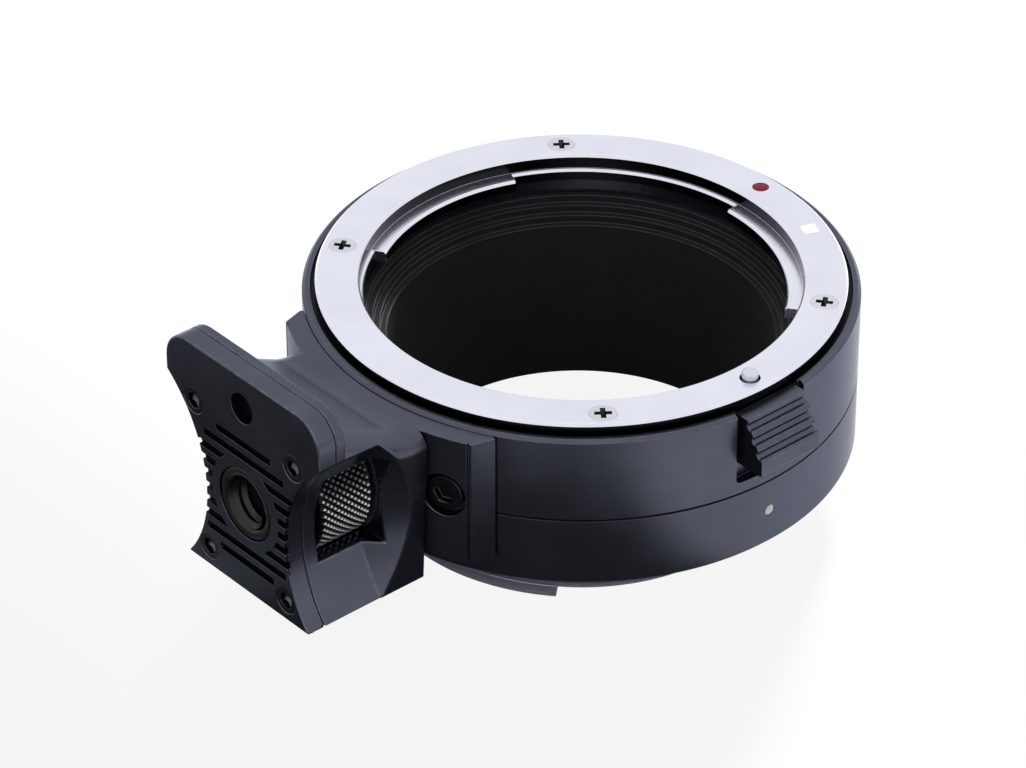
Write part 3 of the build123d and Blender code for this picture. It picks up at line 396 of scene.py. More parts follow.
gold_contact, tree, shader = coating("gold_contact")
skin = grouped(tree, blasted, Scale=7000.0)
plugged(tree, shader, {
    "Base Color": ramp(tree, skin["Cloud"], (0.3, (0.72, 0.45, 0.16)), (0.7, (0.86, 0.60, 0.25))),
    "Roughness": spread(tree, skin["Dimples"], 0.16, 0.32),
    "Metallic": 1.0,
    "Normal": bumped(tree, skin["Dimples"], 0.15, 0.00002)})
dark_steel, tree, shader = coating("dark_steel")
skin = grouped(tree, blasted, Scale=6000.0)
oxide = ramp(tree, skin["Cloud"], (0.3, (0.020, 0.020, 0.023)), (0.7, (0.032, 0.032, 0.037)))
plugged(tree, shader, {
    "Base Color": mixed(tree, grouped(tree, wear, Amount=0.5)["Mask"], oxide, (0.14, 0.14, 0.15, 1)),
    "Roughness": spread(tree, skin["Cloud"], 0.30, 0.42),
    "Metallic": 1.0,
    "Normal": bumped(tree, skin["Dimples"], 0.15, 0.00003)})

block_deg, pin_circle_r, block_top_z = 50, 25.37, 20.5
lens_pins = [around(pin_circle_r, a, block_top_z) for a in pitched(contact_deg, 8, 4.6)]
lens_screws = [around(pin_circle_r, a, block_top_z) for a in pitched(contact_deg, 2, 42.8)]
carrier = turned(band(24.17, 26.57, 14.5, block_top_z), 40, block_deg, contact_deg - block_deg / 2)
holes = bmesh.new()
for places, hole_r, depth in ((lens_pins, 0.61, 3.0), (lens_screws, 1.05, 0.8)):
    for hole in places:
        rod(holes, hole @ Vector((0, 0, -depth)), hole @ Vector((0, 0, 1)), hole_r, segments=24)
eased(machined(carrier, holes), 0.08)
fitted(carrier, "lens_contact_carrier", "adapter", "black_plastic", black_plastic, "lens_contact_block")

pin = turned([(0, 1.2), (0.22, 1.17), (0.42, 1.05), (0.53, 0.85), (0.55, 0.7), (0.55, -4.8), (0, -4.8)], 24)
fitted(repeated(pin, lens_pins), "lens_contact_spring_pins", "contact_pins", "gold_contact", gold_contact,
       "lens_contact_pins")
sunk = Matrix.Translation((0, 0, -0.1))
screws = repeated(pan_screw(1.0, 0.7, 0.55, 7.5), [p @ sunk for p in lens_screws])
fitted(screws, "lens_contact_cross_screws", "adapter", "dark_steel", dark_steel, "lens_contact_screws")


# Camera contacts: nine gilt pads let into the end of a moulded block inside the rear tube. Two
# screws hold it up against the baffle's shelf.
shelf_r, lid_z, pad_deg = 20.75, -3.2, 2.4
flipped = Matrix.Rotation(pi, 4, "X")
camera_screws = [around(shelf_r, a, lid_z) @ flipped for a in pitched(contact_deg, 2, 40.8)]
holder = turned(band(19.3, 22.2, lid_z, 2.0), 40, shelf_deg, contact_deg - shelf_deg / 2)
holes = bmesh.new()
for hole in camera_screws:
    rod(holes, hole @ Vector((0, 0, -0.8)), hole @ Vector((0, 0, 1)), 1.05, segments=24)
eased(machined(holder, holes), 0.08)
fitted(holder, "camera_contact_holder", "adapter", "black_plastic", black_plastic, "camera_contact_block")

pads = bmesh.new()
for angle in pitched(contact_deg, 9, 3.8):
    turned(band(19.95, 21.55, lid_z - 0.1, lid_z + 0.4), 4, pad_deg, angle - pad_deg / 2, pads)
eased(pads, 0.06)
fitted(pads, "camera_contact_gilt_pads", "adapter", "gold_contact", gold_contact, "camera_contact_pads")
screws = repeated(pan_screw(1.0, 0.7, 0.55, 6.7), [p @ sunk for p in camera_screws])
fitted(screws, "camera_contact_cross_screws", "adapter", "dark_steel", dark_steel, "camera_contact_screws")


# Lens lock: a hardened pin with a flat, eased nose, staked into a steel arm that the slider moves. A
# coil spring on a peg of the lower barrel pushes the arm up.
turning, given, out = effect("turning_lines", {"Scale": 16000.0}, ("Lines", "Cloud"))
place = wired(turning, "ShaderNodeTexCoord").outputs["Object"]
flat = wired(turning, "ShaderNodeVectorMath", {0: place, 1: (1, 1, 0)}, operation="MULTIPLY")
radius = wired(turning, "ShaderNodeVectorMath", {0: flat.outputs["Vector"]}, operation="LENGTH")
height = wired(turning, "ShaderNodeSeparateXYZ", {"Vector": place})
along = wired(turning, "ShaderNodeMath", {0: radius.outputs["Value"], 1: height.outputs["Z"]},
              operation="ADD")
lines = wired(turning, "ShaderNodeTexNoise", {"W": along.outputs["Value"], "Scale": given.outputs["Scale"],
                                              "Detail": 2.0}, noise_dimensions="1D")
cloud = wired(turning, "ShaderNodeTexNoise", {"Vector": place, "Scale": 140.0, "Detail": 4.0})
plugged(turning, out, {"Lines": lines.outputs["Fac"], "Cloud": cloud.outputs["Fac"]})

bright_steel, tree, shader = coating("bright_steel")
cutmarks = grouped(tree, turning, Scale=9000.0)
metal = ramp(tree, cutmarks["Cloud"], (0.3, (0.62, 0.63, 0.68)), (0.7, (0.70, 0.71, 0.77)))
bare = mixed(tree, grouped(tree, wear, Amount=0.6)["Mask"], metal, (0.80, 0.80, 0.83, 1))
# Faces marked dark, the screws' cross recesses, get painted shade: a near-black base colour.
plugged(tree, shader, {
    "Base Color": mixed(tree, marked(tree, "dark"), bare, (0.035, 0.035, 0.038, 1)),
    "Roughness": spread(tree, cutmarks["Lines"], 0.24, 0.38),
    "Metallic": 1.0,
    "Normal": bumped(tree, cutmarks["Lines"], 0.2, 0.00002)})

ring_circle_r, front_z, pin_rise = 29.87, 26.0, 0.9
nose_z = front_z + pin_rise
pin = turned([(0, nose_z), (0.7, nose_z), (0.82, nose_z - 0.03), (0.93, nose_z - 0.12), (1.0, nose_z - 0.3),
              (1.0, 20), (0.7, 20), (0.7, 18.8), (0, 18.8)], 48)
bmesh.ops.translate(pin, vec=(ring_circle_r, 0, 0), verts=pin.verts)
fitted(pin, "lock_pin_turned", "slider", "bright_steel", bright_steel, "lock_pin")
dressed(bright_steel, "release_arm")

coil_r, wire_r, turns, facets = 1.05, 0.2, 6, 20
coil_low, coil_high = 9.25, 18.55
coil = bmesh.new()
upright = Matrix.Translation((coil_r, 0, coil_low)) @ Matrix.Rotation(pi / 2, 4, "X")
wire = bmesh.ops.create_circle(coil, segments=8, radius=wire_r, matrix=upright)
rise = (coil_high - coil_low) / (turns * facets)
bmesh.ops.spin(coil, geom=wire["verts"] + list(coil.edges), cent=(0, 0, 0), axis=(0, 0, 1),
               angle=2 * pi * turns, steps=turns * facets, dvec=(0, 0, rise), use_merge=False)
bmesh.ops.holes_fill(coil, edges=coil.edges)
bmesh.ops.recalc_face_normals(coil, faces=coil.faces)
bmesh.ops.translate(coil, vec=(ring_circle_r, 0, 0), verts=coil.verts)
spring = fitted(coil, "lock_coil", "adapter", "bright_steel", bright_steel, "lock_spring")
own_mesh(spring)


# Upper barrel: turned, blasted and anodised with the lower one. A pocket milled in its side takes
# the release slider, and a slot in the pocket's floor lets the slider's stem through.
def arc(centre_x, centre_y, r, start, end, steps=8):
    """Points along an arc, in degrees."""
    angles = [radians(start + (end - start) * i / steps) for i in range(steps + 1)]
    return [(centre_x + r * cos(a), centre_y + r * sin(a)) for a in angles]


def extruded(points, vector):
    """A prism: a flat outline of three-dimensional points, pushed along a vector."""
    bm = bmesh.new()
    face = bm.faces.new([bm.verts.new(p) for p in points])
    new = bmesh.ops.extrude_face_region(bm, geom=[face])["geom"]
    bmesh.ops.translate(bm, vec=vector, verts=[v for v in new if isinstance(v, bmesh.types.BMVert)])
    bmesh.ops.recalc_face_normals(bm, faces=bm.faces)
    return bm


rim_z, rim_r, seat_z = 24.8, 32.95, 24.4
rim_chamfer, ring_bore_r, web_r, web_z = 0.4, 28.2, 27, 22.5
spigot_r, spigot_z = 32.6, 11.4
upper = turned([(barrel_r - seam_chamfer, seam_z), (barrel_r, seam_z + seam_chamfer),
                (barrel_r, rim_z - rim_chamfer), (barrel_r - rim_chamfer, rim_z), (rim_r, rim_z),
                (rim_r, seat_z), (ring_bore_r, seat_z), (ring_bore_r, web_z), (web_r, web_z),
                (web_r, flange_z), (wall_r, flange_z), (wall_r, spigot_z), (spigot_r, spigot_z),
                (spigot_r, seam_z)])
pocket_x, pocket_half, pocket_z, pocket_top, pocket_corner = 32.6, 5.3, 15.0, 27, 0.6
inset, corner_z = pocket_half - pocket_corner, pocket_z + pocket_corner
pocket = [*arc(inset, corner_z, pocket_corner, -90, 0), (pocket_half, pocket_top),
          (-pocket_half, pocket_top), *arc(-inset, corner_z, pocket_corner, 180, 270)]
machined(upper, extruded([(pocket_x, y, z) for y, z in pocket], (4, 0, 0)))
slot_half, slot_low, slot_high = 2.25, 15.75, 21.05
machined(upper, block(bmesh.new(), (27.4, -slot_half, slot_low), (pocket_x + 0.5, slot_half, slot_high)))
pin_hole_r = 1.25
machined(upper, rod(bmesh.new(), (ring_circle_r, 0, 20), (ring_circle_r, 0, 25), pin_hole_r))
# The groove round the ring and the seam chamfers are painted dark as shade.
paint_shade(upper, lambda at, n: seat_z - 0.1 < at.z < rim_z - 0.1 and at.xy.length < rim_r + 0.01)
paint_shade(upper, lambda at, n: abs(at.z - seam_z) < 0.15)
eased(upper, 0.06)
fitted(upper, "upper_barrel_turned", "adapter", "black_anodised", black_anodised, "upper_barrel")


# Release slider: milled aluminium, anodised with the barrel. Three broad ribs on its slope grip
# the finger, and the two prongs of its stem reach through the slot and grip the arm.
slope_top, slope_knee = Vector((34.6, 24.4)), Vector((37.2, 19.6))
slider_back, slider_low = 32.7, 17.5
slope = slope_knee - slope_top
lean = degrees(asin(slope.y / slope.length))
ribs, valley_r = 3, 0.5
profile = [(slider_back, slope_top.y), tuple(slope_top)]
for i in range(ribs):
    centre = slope_top + slope * (i + 0.5) / ribs
    profile += arc(centre.x, centre.y, valley_r, lean + 180, lean + 360, 10)
profile += [tuple(slope_knee), (slope_knee.x, slider_low + 0.3), (slope_knee.x - 0.3, slider_low),
            (slider_back, slider_low)]
slider_half = 4.7
slider = extruded([(x, -slider_half, z) for x, z in profile], (0, 2 * slider_half, 0))
eased(slider, 0.12)
for prong_z in (18, 20):
    block(slider, (31.22, -2, prong_z), (slider_back + 0.4, 2, prong_z + 0.8))
fitted(slider, "release_slider_milled", "slider", "black_anodised", black_anodised, "release_slider")


# Rear mount ring: brass, turned and satin chromed, with three lugs for the camera's bayonet. Four
# countersunk screws hold it on the lower barrel's boss.
def countersunk_screw(head_r, shank_r, length):
    """Countersunk screw with a cross recess: the top of its head is at the origin."""
    unit = turned([(0, 0), (head_r, 0), (head_r, -0.06), (shank_r, shank_r - head_r - 0.06),
                   (shank_r, -length), (0, -length)], 48)
    machined(unit, cross(0.66 * head_r, 0.5 * head_r))
    # The cross recess is painted dark as shade.
    paint_shade(unit, lambda at, n: -0.52 * head_r < at.z < -0.01 and at.xy.length < 0.6 * head_r)
    return eased(unit, 0.04)


satin_chrome, tree, shader = coating("satin_chrome")
cutmarks = grouped(tree, turning)
chrome = ramp(tree, cutmarks["Cloud"], (0.3, (0.72, 0.735, 0.84)), (0.7, (0.78, 0.795, 0.89)))
bare = mixed(tree, grouped(tree, wear, Amount=0.8)["Mask"], chrome, (0.86, 0.86, 0.90, 1))
# Faces marked dark, the front ring's vertical walls, get painted shade: a near-black base colour.
plugged(tree, shader, {
    "Base Color": mixed(tree, marked(tree, "dark"), bare, (0.022, 0.023, 0.026, 1)),
    "Roughness": spread(tree, cutmarks["Lines"], 0.20, 0.30),
    "Metallic": 1.0,
    "Normal": bumped(tree, cutmarks["Lines"], 0.12, 0.00002)})

tube_end_z, tube_r, tube_bore_r, rear_flange_r = -4.0, 23.7, 23, 28.7
rear = turned([(tube_bore_r, boss_z), (rear_flange_r, boss_z), (rear_flange_r, 0.3), (rear_flange_r - 0.3, 0),
               (tube_r, 0), (tube_r, tube_end_z), (tube_bore_r, tube_end_z)])
lugs, lug_deg = bmesh.new(), 54
for angle in (-75, 45, 165):
    turned(band(23.35, 25.7, tube_end_z, tube_end_z + 1.6), 36, lug_deg, angle - lug_deg / 2, lugs)
machined(rear, lugs, "UNION")
rear_circle_r = 26.2
rear_screws = [around(rear_circle_r, a, 0.05) @ flipped for a in (15, 105, 195, 285)]
holes = bmesh.new()
for hole in rear_screws:
    rod(holes, hole @ Vector((0, 0, -1.0)), hole @ Vector((0, 0, 0.25)), 0.75, 2.0)
lock_hole = around(rear_circle_r, 88).translation
rod(holes, lock_hole - Vector((0, 0, 1)), lock_hole + Vector((0, 0, 1.5)), 1.2)
eased(machined(rear, holes), 0.08)
fitted(rear, "rear_mount_ring_turned", "adapter", "satin_chrome", satin_chrome, "rear_mount_ring")
fitted(repeated(countersunk_screw(1.7, 0.8, 4.4), rear_screws), "rear_mount_cross_screws", "adapter",
       "bright_steel", bright_steel, "rear_mount_screws")


# Front mount ring: brass, turned and satin chromed, with three tabs that hold the lens against its
# face. Leaf springs lie under the tabs, and four countersunk screws go into the upper barrel.
dressed(bright_steel, "bayonet_springs")
ring_r, hub_r, throat_r, lip_r, tab_r = 32.4, 28.1, 27, 26.5, 25
tab_low, tab_high, ledge, root_r = 22.7, 24.2, 0.3, 27.3
ring = turned([(root_r, front_z), (ring_r - 0.3, front_z), (ring_r, front_z - 0.3), (ring_r, seat_z),
               (hub_r, seat_z), (hub_r, tab_low), (lip_r, tab_low), (lip_r, tab_high - ledge),
               (lip_r + ledge, tab_high), (throat_r, tab_high), (throat_r, front_z - 0.3)])
tabs, tab_deg, tab_steps = bmesh.new(), 54.375, 29
for start in (37.5, 157.5, 277.5):
    turned([(tab_r, tab_low), (root_r, tab_low), (root_r, tab_high), (tab_r + ledge, tab_high),
            (tab_r, tab_high - ledge)], tab_steps, tab_deg, start, tabs)
machined(ring, tabs, "UNION")
mark_z, mark_depth, dot_r, dot_deg, square, square_deg = front_z - 0.05, 0.4, 1.05, 90, 2.0, 68.5
ring_screws = [around(ring_circle_r, a, mark_z) for a in (36.8, 143.2, 216.8, 323.2)]
holes = bmesh.new()
for hole in ring_screws:
    rod(holes, hole @ Vector((0, 0, -1.1)), hole @ Vector((0, 0, 0.2)), 0.65, 1.95)
for angle, hole_r, depth in ((0, pin_hole_r, 5), (dot_deg, dot_r, mark_depth)):
    top = around(ring_circle_r, angle, front_z).translation
    rod(holes, top - Vector((0, 0, depth)), top + Vector((0, 0, 1)), hole_r)
corner = square / 2
mark = block(bmesh.new(), (-corner, -corner, -mark_depth), (corner, corner, 1))
bmesh.ops.transform(mark, matrix=around(ring_circle_r, square_deg, front_z), verts=mark.verts)
machined(ring, mark)
machined(ring, holes)
# The ring's chrome walls inside the throat, on the tabs and round the outside are painted near-black as
# shade.
paint_shade(ring, lambda at, n: (not throat_r + 0.2 < at.xy.length < ring_r - 0.2
                            and abs(n.xy.dot(at.xy.normalized())) > 0.9))
eased(ring, 0.06)
fitted(ring, "front_mount_ring_turned", "adapter", "satin_chrome", satin_chrome, "front_mount_ring")
fitted(repeated(countersunk_screw(1.7, 0.8, 4.6), ring_screws), "front_mount_cross_screws", "adapter",
       "bright_steel", bright_steel, "front_mount_screws")


# Index marks: enamel run into the recesses, slightly domed where it has set. A red dot and a white
# square on the ring are for the lens, and a white dot on the barrel for the camera.
def enamel(name, shade, light):
    """Enamel filling: smooth, with a little unevenness."""
    material, tree, shader = coating(name)
    dimples = grouped(tree, blasted, Scale=2500.0)["Dimples"]
    plugged(tree, shader, {
        "Base Color": ramp(tree, dimples, (0.3, shade), (0.7, light)),
        "Roughness": spread(tree, dimples, 0.34, 0.48),
        "Specular IOR Level": 0.25,
        "Normal": bumped(tree, dimples, 0.12, 0.00003)})
    return material


red_enamel = enamel("red_enamel", (0.11, 0.001, 0.009), (0.145, 0.002, 0.013))
white_enamel = enamel("white_enamel", (0.92, 0.92, 0.91), (0.96, 0.96, 0.95))
dome = [(0, 0.0), (0.45, -0.012), (0.75, -0.04), (0.93, -0.08), (1, -0.14), (1, -0.35), (0, -0.35)]
dot = turned([(dot_r * r, z) for r, z in dome], 48)
bmesh.ops.transform(dot, matrix=around(ring_circle_r, dot_deg, mark_z), verts=dot.verts)
fitted(dot, "lens_index_dot_enamel", "adapter", "red_enamel", red_enamel, "lens_index_dot")
mark = block(bmesh.new(), (-corner, -corner, -0.35), (corner, corner, 0))
eased(mark, 0.1, 3)
bmesh.ops.transform(mark, matrix=around(ring_circle_r, square_deg, mark_z), verts=mark.verts)
fitted(mark, "lens_index_square_enamel", "adapter", "white_enamel", white_enamel, "lens_index_square")
dot = turned([(camera_dot_r * r, z) for r, z in dome], 32)
outward = Matrix.Rotation(pi / 2, 4, "Y")
bmesh.ops.transform(dot, matrix=Matrix.Translation((33.95, 0, camera_dot_z)) @ outward, verts=dot.verts)
fitted(dot, "camera_index_dot_enamel", "adapter", "white_enamel", white_enamel, "camera_index_dot")


# Foot seat: a curved pad of anodised aluminium with drafted ends, bolted to the barrel by two socket
# screws sunk in counterbores. Two pressed pins stop the foot from turning on its stud.
seat_r, seat_low, axis_z = 36.6, 7.2, 16.2
foot_r, gap_r, gap_deg, tip_deg = 34.05, 34.4, 31.2, 31.5
foot_deg, seat_deg = 270, 28
outline = arc(0, 0, foot_r, foot_deg + gap_deg, foot_deg - gap_deg, 32)
outline += arc(0, 0, gap_r, foot_deg - gap_deg, foot_deg - tip_deg, 1)
outline += arc(0, 0, seat_r, foot_deg - seat_deg, foot_deg + seat_deg, 28)
outline += arc(0, 0, gap_r, foot_deg + tip_deg, foot_deg + gap_deg, 1)
seat = extruded([(x, y, seat_low) for x, y in outline], (0, 0, seat_z - seat_low))
holes = rod(bmesh.new(), (0, -30, axis_z), (0, -38, axis_z), 2.55)
seat_screws = [around(seat_r, a, axis_z) @ outward for a in pitched(foot_deg, 2, 44.3)]
counterbore_r = 2.9
for hole in seat_screws:
    rod(holes, hole @ Vector((0, 0, -1.5)), hole @ Vector((0, 0, 1)), counterbore_r)
machined(seat, holes)
for angle in pitched(foot_deg, 2, 54.4):
    line = block(bmesh.new(), (-0.3, -0.12, seat_low - 1), (1, 0.12, seat_z + 1))
    bmesh.ops.transform(line, matrix=around(seat_r, angle), verts=line.verts)
    machined(seat, line)
# The walls of the gaps at the seat's ends are painted dark as shade.
paint_shade(seat, lambda at, n: foot_r + 0.05 < at.xy.length < gap_r + 0.02 and abs(n.z) < 0.5)
eased(seat, 0.1, 3)
fitted(seat, "foot_seat_milled", "adapter", "black_anodised", black_anodised, "foot_seat")

unit = turned([(0, 0), (2.3, 0), (2.3, -1.1), (1.1, -1.1), (1.1, -5), (0, -5)], 48)
socket = rod(bmesh.new(), (0, 0, -0.9), (0, 0, 0.5), 1.45, segments=6)
eased(machined(unit, socket), 0.12)
sunk = Matrix.Translation((0, 0, -0.4))
fitted(repeated(unit, [p @ sunk for p in seat_screws]), "foot_seat_socket_screws", "adapter",
       "dark_steel", dark_steel, "foot_seat_screws")
dressed(bright_steel, "locating_pins")


# Foot body: milled aluminium, anodised black. A scoop with a coned end on each side makes room for
# the fingers, with a window through to the thumbwheel, and the neck's top slopes up to the flange.
def scoops():
    """Cutter of the two finger scoops: a bar with a coned end on each side, along the foot's axis."""
    scoop_r, scoop_x, scoop_z, floor_end, wall = 17.5, 24.9, 14.4, 41.6, 7.5
    tip = floor_end - wall
    bar = turned([(0, tip), (scoop_r - wall, tip), (scoop_r, floor_end), (scoop_r, 56), (0, 56)], 180)
    lay = Matrix.Rotation(pi / 2, 4, "X")
    return repeated(bar, [Matrix.Translation((side * scoop_x, 0, scoop_z)) @ lay for side in (-1, 1)])


def foot_outline(y):
    """Rounded outline of the flange and base plate, before the scoops."""
    half, low, high, corner = 14.2, foot_low, 34.3, 4.0
    right = [(half, low), *arc(half - corner, high - corner, corner, 0, 90)]
    return [(x, y, z) for x, z in right + [(-x, z) for x, z in reversed(right)]]


flange_back, plate_back, face, neck_half, foot_low = 48.7, 50.0, 52.6, 12.4, 3.4
slope_end, slope_z, slope_rise = 36.7, 25.2, 5.0
edge_r, neck_start, draft = 3.0, 33.0, 1.0
slope_top = slope_z + slope_rise
blend = 0.24
heights = [(neck_start, slope_z)]
for share in (0, 0.06, 0.12, 0.18, 0.24, 1):
    bend = share ** 2 / (2 * blend) if share < blend else share - blend / 2
    heights.append((slope_end + (flange_back - slope_end) * share,
                    slope_z + slope_rise * bend / (1 - blend / 2)))
heights.append((flange_back + 0.4, slope_top))
neck, rings = bmesh.new(), []
for y, top in heights:
    lean = draft * (slope_top - top + edge_r) / (slope_top - foot_low)
    right = [(neck_half - draft, foot_low), *arc(neck_half - lean - edge_r, top - edge_r, edge_r, 0, 90)]
    section = right + [(-x, z) for x, z in reversed(right)]
    rings.append([neck.verts.new((x, -y, z)) for x, z in section])
for a, b in zip(rings, rings[1:]):
    for i in range(len(a)):
        neck.faces.new((a[i - 1], a[i], b[i], b[i - 1]))
neck.faces.new(rings[0])
neck.faces.new(rings[-1])
machined(neck, extruded(foot_outline(-plate_back), (0, plate_back - flange_back, 0)), "UNION")
machined(neck, rod(bmesh.new(), (0, 0, 0), (0, 0, 40), slope_end, segments=256))
machined(neck, scoops())
wheel_bore_r, bore_end, window_near, window_half = 8.6, 48, 39.6, 6.2
machined(neck, rod(bmesh.new(), (0, -30, axis_z), (0, -bore_end, axis_z), wheel_bore_r, segments=96))
machined(neck, block(bmesh.new(), (-20, -bore_end, axis_z - window_half),
                     (20, -window_near, axis_z + window_half)))
eased(neck, 0.22, 3)
fitted(neck, "foot_body_milled", "foot", "black_anodised", black_anodised, "foot_body")


# Thumbwheel: a blackened steel drum with a diamond knurl whose points are rubbed bright. A threaded
# stud pressed into it draws the foot home, and a disc in the bore keeps it captive.
knurled_steel, tree, shader = coating("knurled_steel")
skin = grouped(tree, blasted)
rubbed = spread(tree, marked(tree, "edge"), 0.0, 1.0, 0.35, 0.75)
plugged(tree, shader, {
    "Base Color": mixed(tree, rubbed, (0.012, 0.012, 0.014, 1), (0.80, 0.80, 0.82, 1)),
    "Roughness": spread(tree, skin["Cloud"], 0.28, 0.4),
    "Metallic": 0.9,
    "Normal": bumped(tree, skin["Dimples"], 0.2, 0.00003)})
along_foot = Matrix.Translation((0, 0, axis_z)) @ Matrix.Rotation(pi / 2, 4, "X")
wheel_r, wheel_near, wheel_far = 8.4, 39.8, 47.8
knurl_depth, diamonds, rows = 0.4, 52, 15
drum = bmesh.new()
crest = drum.verts.layers.float.new("edge")
rings = []
for row in range(rows + 1):
    z = wheel_near + 0.2 + (wheel_far - wheel_near - 0.4) * row / rows
    ring = []
    for i in range(2 * diamonds):
        raised = (i + row) % 2 == 0 and 0 < row < rows
        r, a = wheel_r - (0 if raised else knurl_depth), pi * i / diamonds
        vert = drum.verts.new((r * cos(a), r * sin(a), z))
        vert[crest] = raised
        ring.append(vert)
    rings.append(ring)
for row in range(rows):
    for i in range(2 * diamonds):
        j = (i + 1) % (2 * diamonds)
        a, b, c, d = rings[row][i], rings[row][j], rings[row + 1][j], rings[row + 1][i]
        halves = ((a, b, d), (b, c, d)) if (i + row) % 2 == 0 else ((a, b, c), (a, c, d))
        for corners in halves:
            drum.faces.new(corners)
for ring, z in ((rings[0], wheel_near), (rings[-1], wheel_far)):
    rim = [drum.verts.new((v.co.x * 0.955, v.co.y * 0.955, z)) for v in ring]
    for i in range(2 * diamonds):
        drum.faces.new((ring[i - 1], ring[i], rim[i], rim[i - 1]))
    drum.faces.new(rim)
bmesh.ops.recalc_face_normals(drum, faces=drum.faces)
bmesh.ops.transform(drum, matrix=along_foot, verts=drum.verts)
fitted(drum, "thumbwheel_knurled", "wheel", "bright_steel", knurled_steel, "thumbwheel")


def threaded(core_r, crest_r, pitch, low, high, facets=36):
    """A helical ridge between two radii, wound from one height to the other."""
    count = int((high - low) / pitch) - 1
    bm = bmesh.new()
    half = 0.45 * pitch
    ridge = ((core_r, 0, low), (crest_r, 0, low + half), (core_r, 0, low + 2 * half))
    start = bm.faces.new([bm.verts.new(p) for p in ridge])
    bmesh.ops.spin(bm, geom=[start], cent=(0, 0, 0), axis=(0, 0, 1), angle=2 * pi * count,
                   steps=count * facets, dvec=(0, 0, pitch / facets), use_merge=False)
    bmesh.ops.recalc_face_normals(bm, faces=bm.faces)
    return bm


stud_r, stud_start, stud_end, stud_pitch = 2.08, 31.8, 44.8, 0.8
stud = threaded(2.05, 2.48, stud_pitch, stud_start + 0.5, 39.6)
turned([(0, stud_start), (1.7, stud_start), (stud_r, stud_start + 0.4), (stud_r, stud_end), (0, stud_end)],
       48, bm=stud)
bmesh.ops.transform(stud, matrix=along_foot, verts=stud.verts)
fitted(stud, "thumbwheel_stud_threaded", "wheel", "bright_steel", bright_steel, "thumbwheel_stud")
dressed(bright_steel, "wheel_retainer")


# Tripod bushing: a browned steel nut with the tripod's coarse thread, its flange trapped between the
# foot's body and the base plate.
browned_steel, tree, shader = coating("browned_steel")
cutmarks = grouped(tree, turning, Scale=6000.0)
oxide = ramp(tree, cutmarks["Cloud"], (0.3, (0.028, 0.027, 0.026)), (0.7, (0.044, 0.043, 0.041)))
plugged(tree, shader, {
    "Base Color": mixed(tree, grouped(tree, wear, Amount=0.5)["Mask"], oxide, (0.40, 0.39, 0.38, 1)),
    "Roughness": spread(tree, cutmarks["Lines"], 0.26, 0.40),
    "Metallic": 1.0,
    "Normal": bumped(tree, cutmarks["Lines"], 0.2, 0.00002)})
bushing_r, bore_r, nut_flange_r, nut_back, nut_front = 4.75, 3.175, 6.2, 48.9, 52.45
nut = turned([(bore_r + 0.6, nut_front), (bushing_r - 0.15, nut_front), (bushing_r, nut_front - 0.15),
              (bushing_r, plate_back), (nut_flange_r, plate_back), (nut_flange_r, nut_back),
              (bore_r, nut_back), (bore_r, nut_front - 0.6)], 96)
thread_pitch = 1.27
thread = threaded(bore_r + 0.05, bore_r - 0.45, thread_pitch, nut_back, nut_front + 0.45)
mesh = bpy.data.meshes.new("thread")
thread.to_mesh(mesh)
thread.free()
nut.from_mesh(mesh)
bpy.data.meshes.remove(mesh)
bmesh.ops.transform(nut, matrix=along_foot, verts=nut.verts)
fitted(nut, "tripod_bushing_threaded", "foot", "bright_steel", browned_steel, "tripod_bushing")


# Base plate: milled and anodised with the foot, its face grooved round a plain boss so that a tripod
# plate grips it. Four blackened countersunk socket screws hold it on.
plate = machined(extruded(foot_outline(-plate_back), (0, plate_back - face, 0)), scoops())
eased(plate, 0.25, 5)
groove_pitch, groove_half, groove_depth = 1.9, 0.46, 0.5
field_r, boss_r = 9.9, 6.2
grooves = bmesh.new()
for level in pitched(0, 10, groove_pitch):
    reach = sqrt(field_r ** 2 - level ** 2)
    block(grooves, (-reach, -face - 1, axis_z + level - groove_half),
          (reach, -face + groove_depth, axis_z + level + groove_half))
boss = rod(bmesh.new(), (0, -face - 2, axis_z), (0, -face + 2, axis_z), boss_r, segments=64)
machined(plate, machined(grooves, boss))
forward = Matrix.Rotation(pi / 2, 4, "X")
plate_screws = [Matrix.Translation((side * x, -face + 0.05, axis_z + level)) @ forward
                for side in (-1, 1) for x, level in ((7.2, -10.0), (9.2, 10.0))]
holes = rod(bmesh.new(), (0, -face - 1, axis_z), (0, -face + 3, axis_z), bushing_r + 0.05, segments=64)
stop_hole_z, stop_hole_r = 29.8, 2.0
rod(holes, (0, -face - 1, stop_hole_z), (0, -face + 3, stop_hole_z), stop_hole_r)
for hole in plate_screws:
    rod(holes, hole @ Vector((0, 0, -1.1)), hole @ Vector((0, 0, 0.25)), 0.65, 2.0)
machined(plate, holes)
middle = Vector((0, axis_z))
# The groove floors and walls are painted dark as shade.
paint_shade(plate, lambda at, n: (0.1 < at.y + face < groove_depth + 0.05
                             and (at.xz - middle).length < field_r))
eased(plate, 0.07)
for vert in plate.verts:
    vert.co.y = max(vert.co.y, -face)
fitted(plate, "foot_base_plate_grooved", "foot", "black_anodised", black_anodised, "foot_base_plate")

unit = turned([(0, 0), (1.75, 0), (1.75, -0.06), (1.0, -0.81), (1.0, -5.9), (0, -5.9)], 48)
eased(machined(unit, rod(bmesh.new(), (0, 0, -1.2), (0, 0, 0.5), 1.15, segments=6)), 0.06)
fitted(repeated(unit, plate_screws), "foot_plate_socket_screws", "foot", "dark_steel", dark_steel,
       "foot_plate_screws")


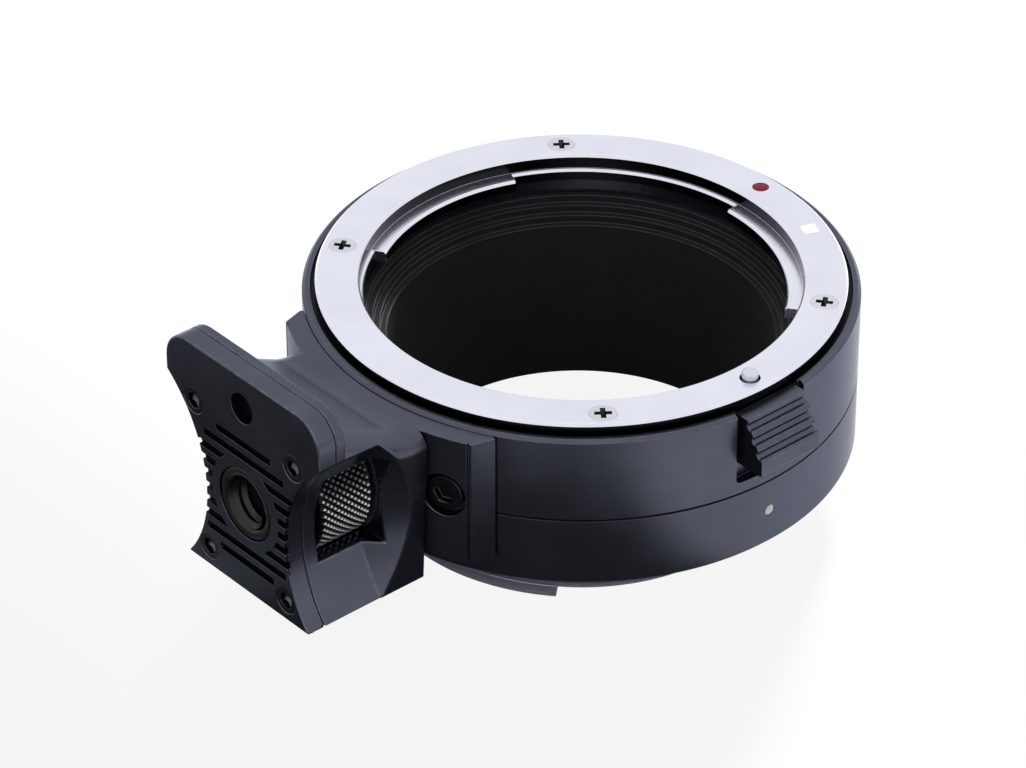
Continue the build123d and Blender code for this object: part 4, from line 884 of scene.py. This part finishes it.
# Studio: a pale paper floor, white surroundings, one softbox behind the part with two flags that keep
# the near floor in shade, and a long lens at the photograph's viewing angle.
floor_mesh = bpy.data.meshes.new("floor")
bm = bmesh.new()
under = Matrix.Translation((0, 0, -0.00405))
bmesh.ops.create_circle(bm, cap_ends=True, segments=96, radius=3.0, matrix=under)
bm.to_mesh(floor_mesh)
bm.free()
floor = bpy.data.objects.new("floor", floor_mesh)
bpy.context.scene.collection.objects.link(floor)
paper, tree, shader = coating("studio_paper")
floor_mesh.materials.append(paper)
plugged(tree, shader, {"Base Color": (0.9, 0.9, 0.9, 1), "Roughness": 0.9, "Specular IOR Level": 0.1})
path = wired(tree, "ShaderNodeLightPath")
share = wired(tree, "ShaderNodeMath", {0: path.outputs["Is Camera Ray"], 1: 0.9}, operation="MULTIPLY")
glow = wired(tree, "ShaderNodeEmission", {"Color": (1, 1, 1, 1), "Strength": 1.0})
blend = wired(tree, "ShaderNodeMixShader", {0: share.outputs["Value"], 1: shader.outputs["BSDF"],
                                            2: glow.outputs["Emission"]})
plugged(tree, tree.nodes["Material Output"], {"Surface": blend.outputs["Shader"]})

flag_mesh = bpy.data.meshes.new("flag")
bm = bmesh.new()
for middle, wide, deep in (((-0.0855, 0.028, 0.08), 0.09, 0.066), ((0.018, 0.022, 0.08), 0.05, 0.08)):
    bmesh.ops.create_grid(bm, x_segments=1, y_segments=1, size=0.5,
                          matrix=Matrix.Translation(middle) @ Matrix.Diagonal((wide, deep, 1, 1)))
bm.to_mesh(flag_mesh)
bm.free()
flag = bpy.data.objects.new("flag", flag_mesh)
bpy.context.scene.collection.objects.link(flag)
flag.visible_camera = flag.visible_glossy = False
cloth, tree, shader = coating("flag_cloth")
flag_mesh.materials.append(cloth)
plugged(tree, shader, {"Base Color": (0.01, 0.01, 0.01, 1), "Roughness": 0.9})

world = bpy.data.worlds.new("studio")
bpy.context.scene.world = world
world.use_nodes = True
tree = world.node_tree
path = wired(tree, "ShaderNodeLightPath")
clear = wired(tree, "ShaderNodeMath", {0: path.outputs["Is Camera Ray"],
                                       1: path.outputs["Is Transmission Ray"]}, operation="MAXIMUM")
seen = wired(tree, "ShaderNodeMath", {0: clear.outputs["Value"], 1: path.outputs["Is Glossy Ray"]},
             operation="MAXIMUM")
level = wired(tree, "ShaderNodeMapRange", {"Value": seen.outputs["Value"], "To Min": 0.1, "To Max": 1.0})
plugged(tree, tree.nodes["Background"], {"Color": (1, 1, 1, 1), "Strength": level.outputs["Result"]})

azimuth, elevation, reach = 122, 35, 1.0
lamp = bpy.data.lights.new("key_softbox", "AREA")
lamp.shape, lamp.size, lamp.energy = "DISK", 0.2, 21.0
key = bpy.data.objects.new("key_softbox", lamp)
swing = Matrix.Rotation(radians(azimuth), 3, "Z") @ Matrix.Rotation(radians(-elevation), 3, "Y")
key.location = swing @ Vector((reach, 0, 0))
key.rotation_euler = (-key.location).to_track_quat("-Z", "Y").to_euler()
key.visible_glossy = False
bpy.context.scene.collection.objects.link(key)

lens = bpy.data.cameras.new("long_lens")
lens.lens, lens.sensor_width, lens.clip_start = 180.06, 36.0, 0.01
camera = bpy.data.objects.new("long_lens", lens)
camera.location = (0.38825, -0.34880, 0.36677)
aim = Vector((-0.00431, -0.00727, 0.01067)) - camera.location
camera.rotation_euler = aim.to_track_quat("-Z", "Y").to_euler()
bpy.context.scene.collection.objects.link(camera)
bpy.context.scene.camera = camera
bpy.context.scene.view_settings.view_transform = "Standard"
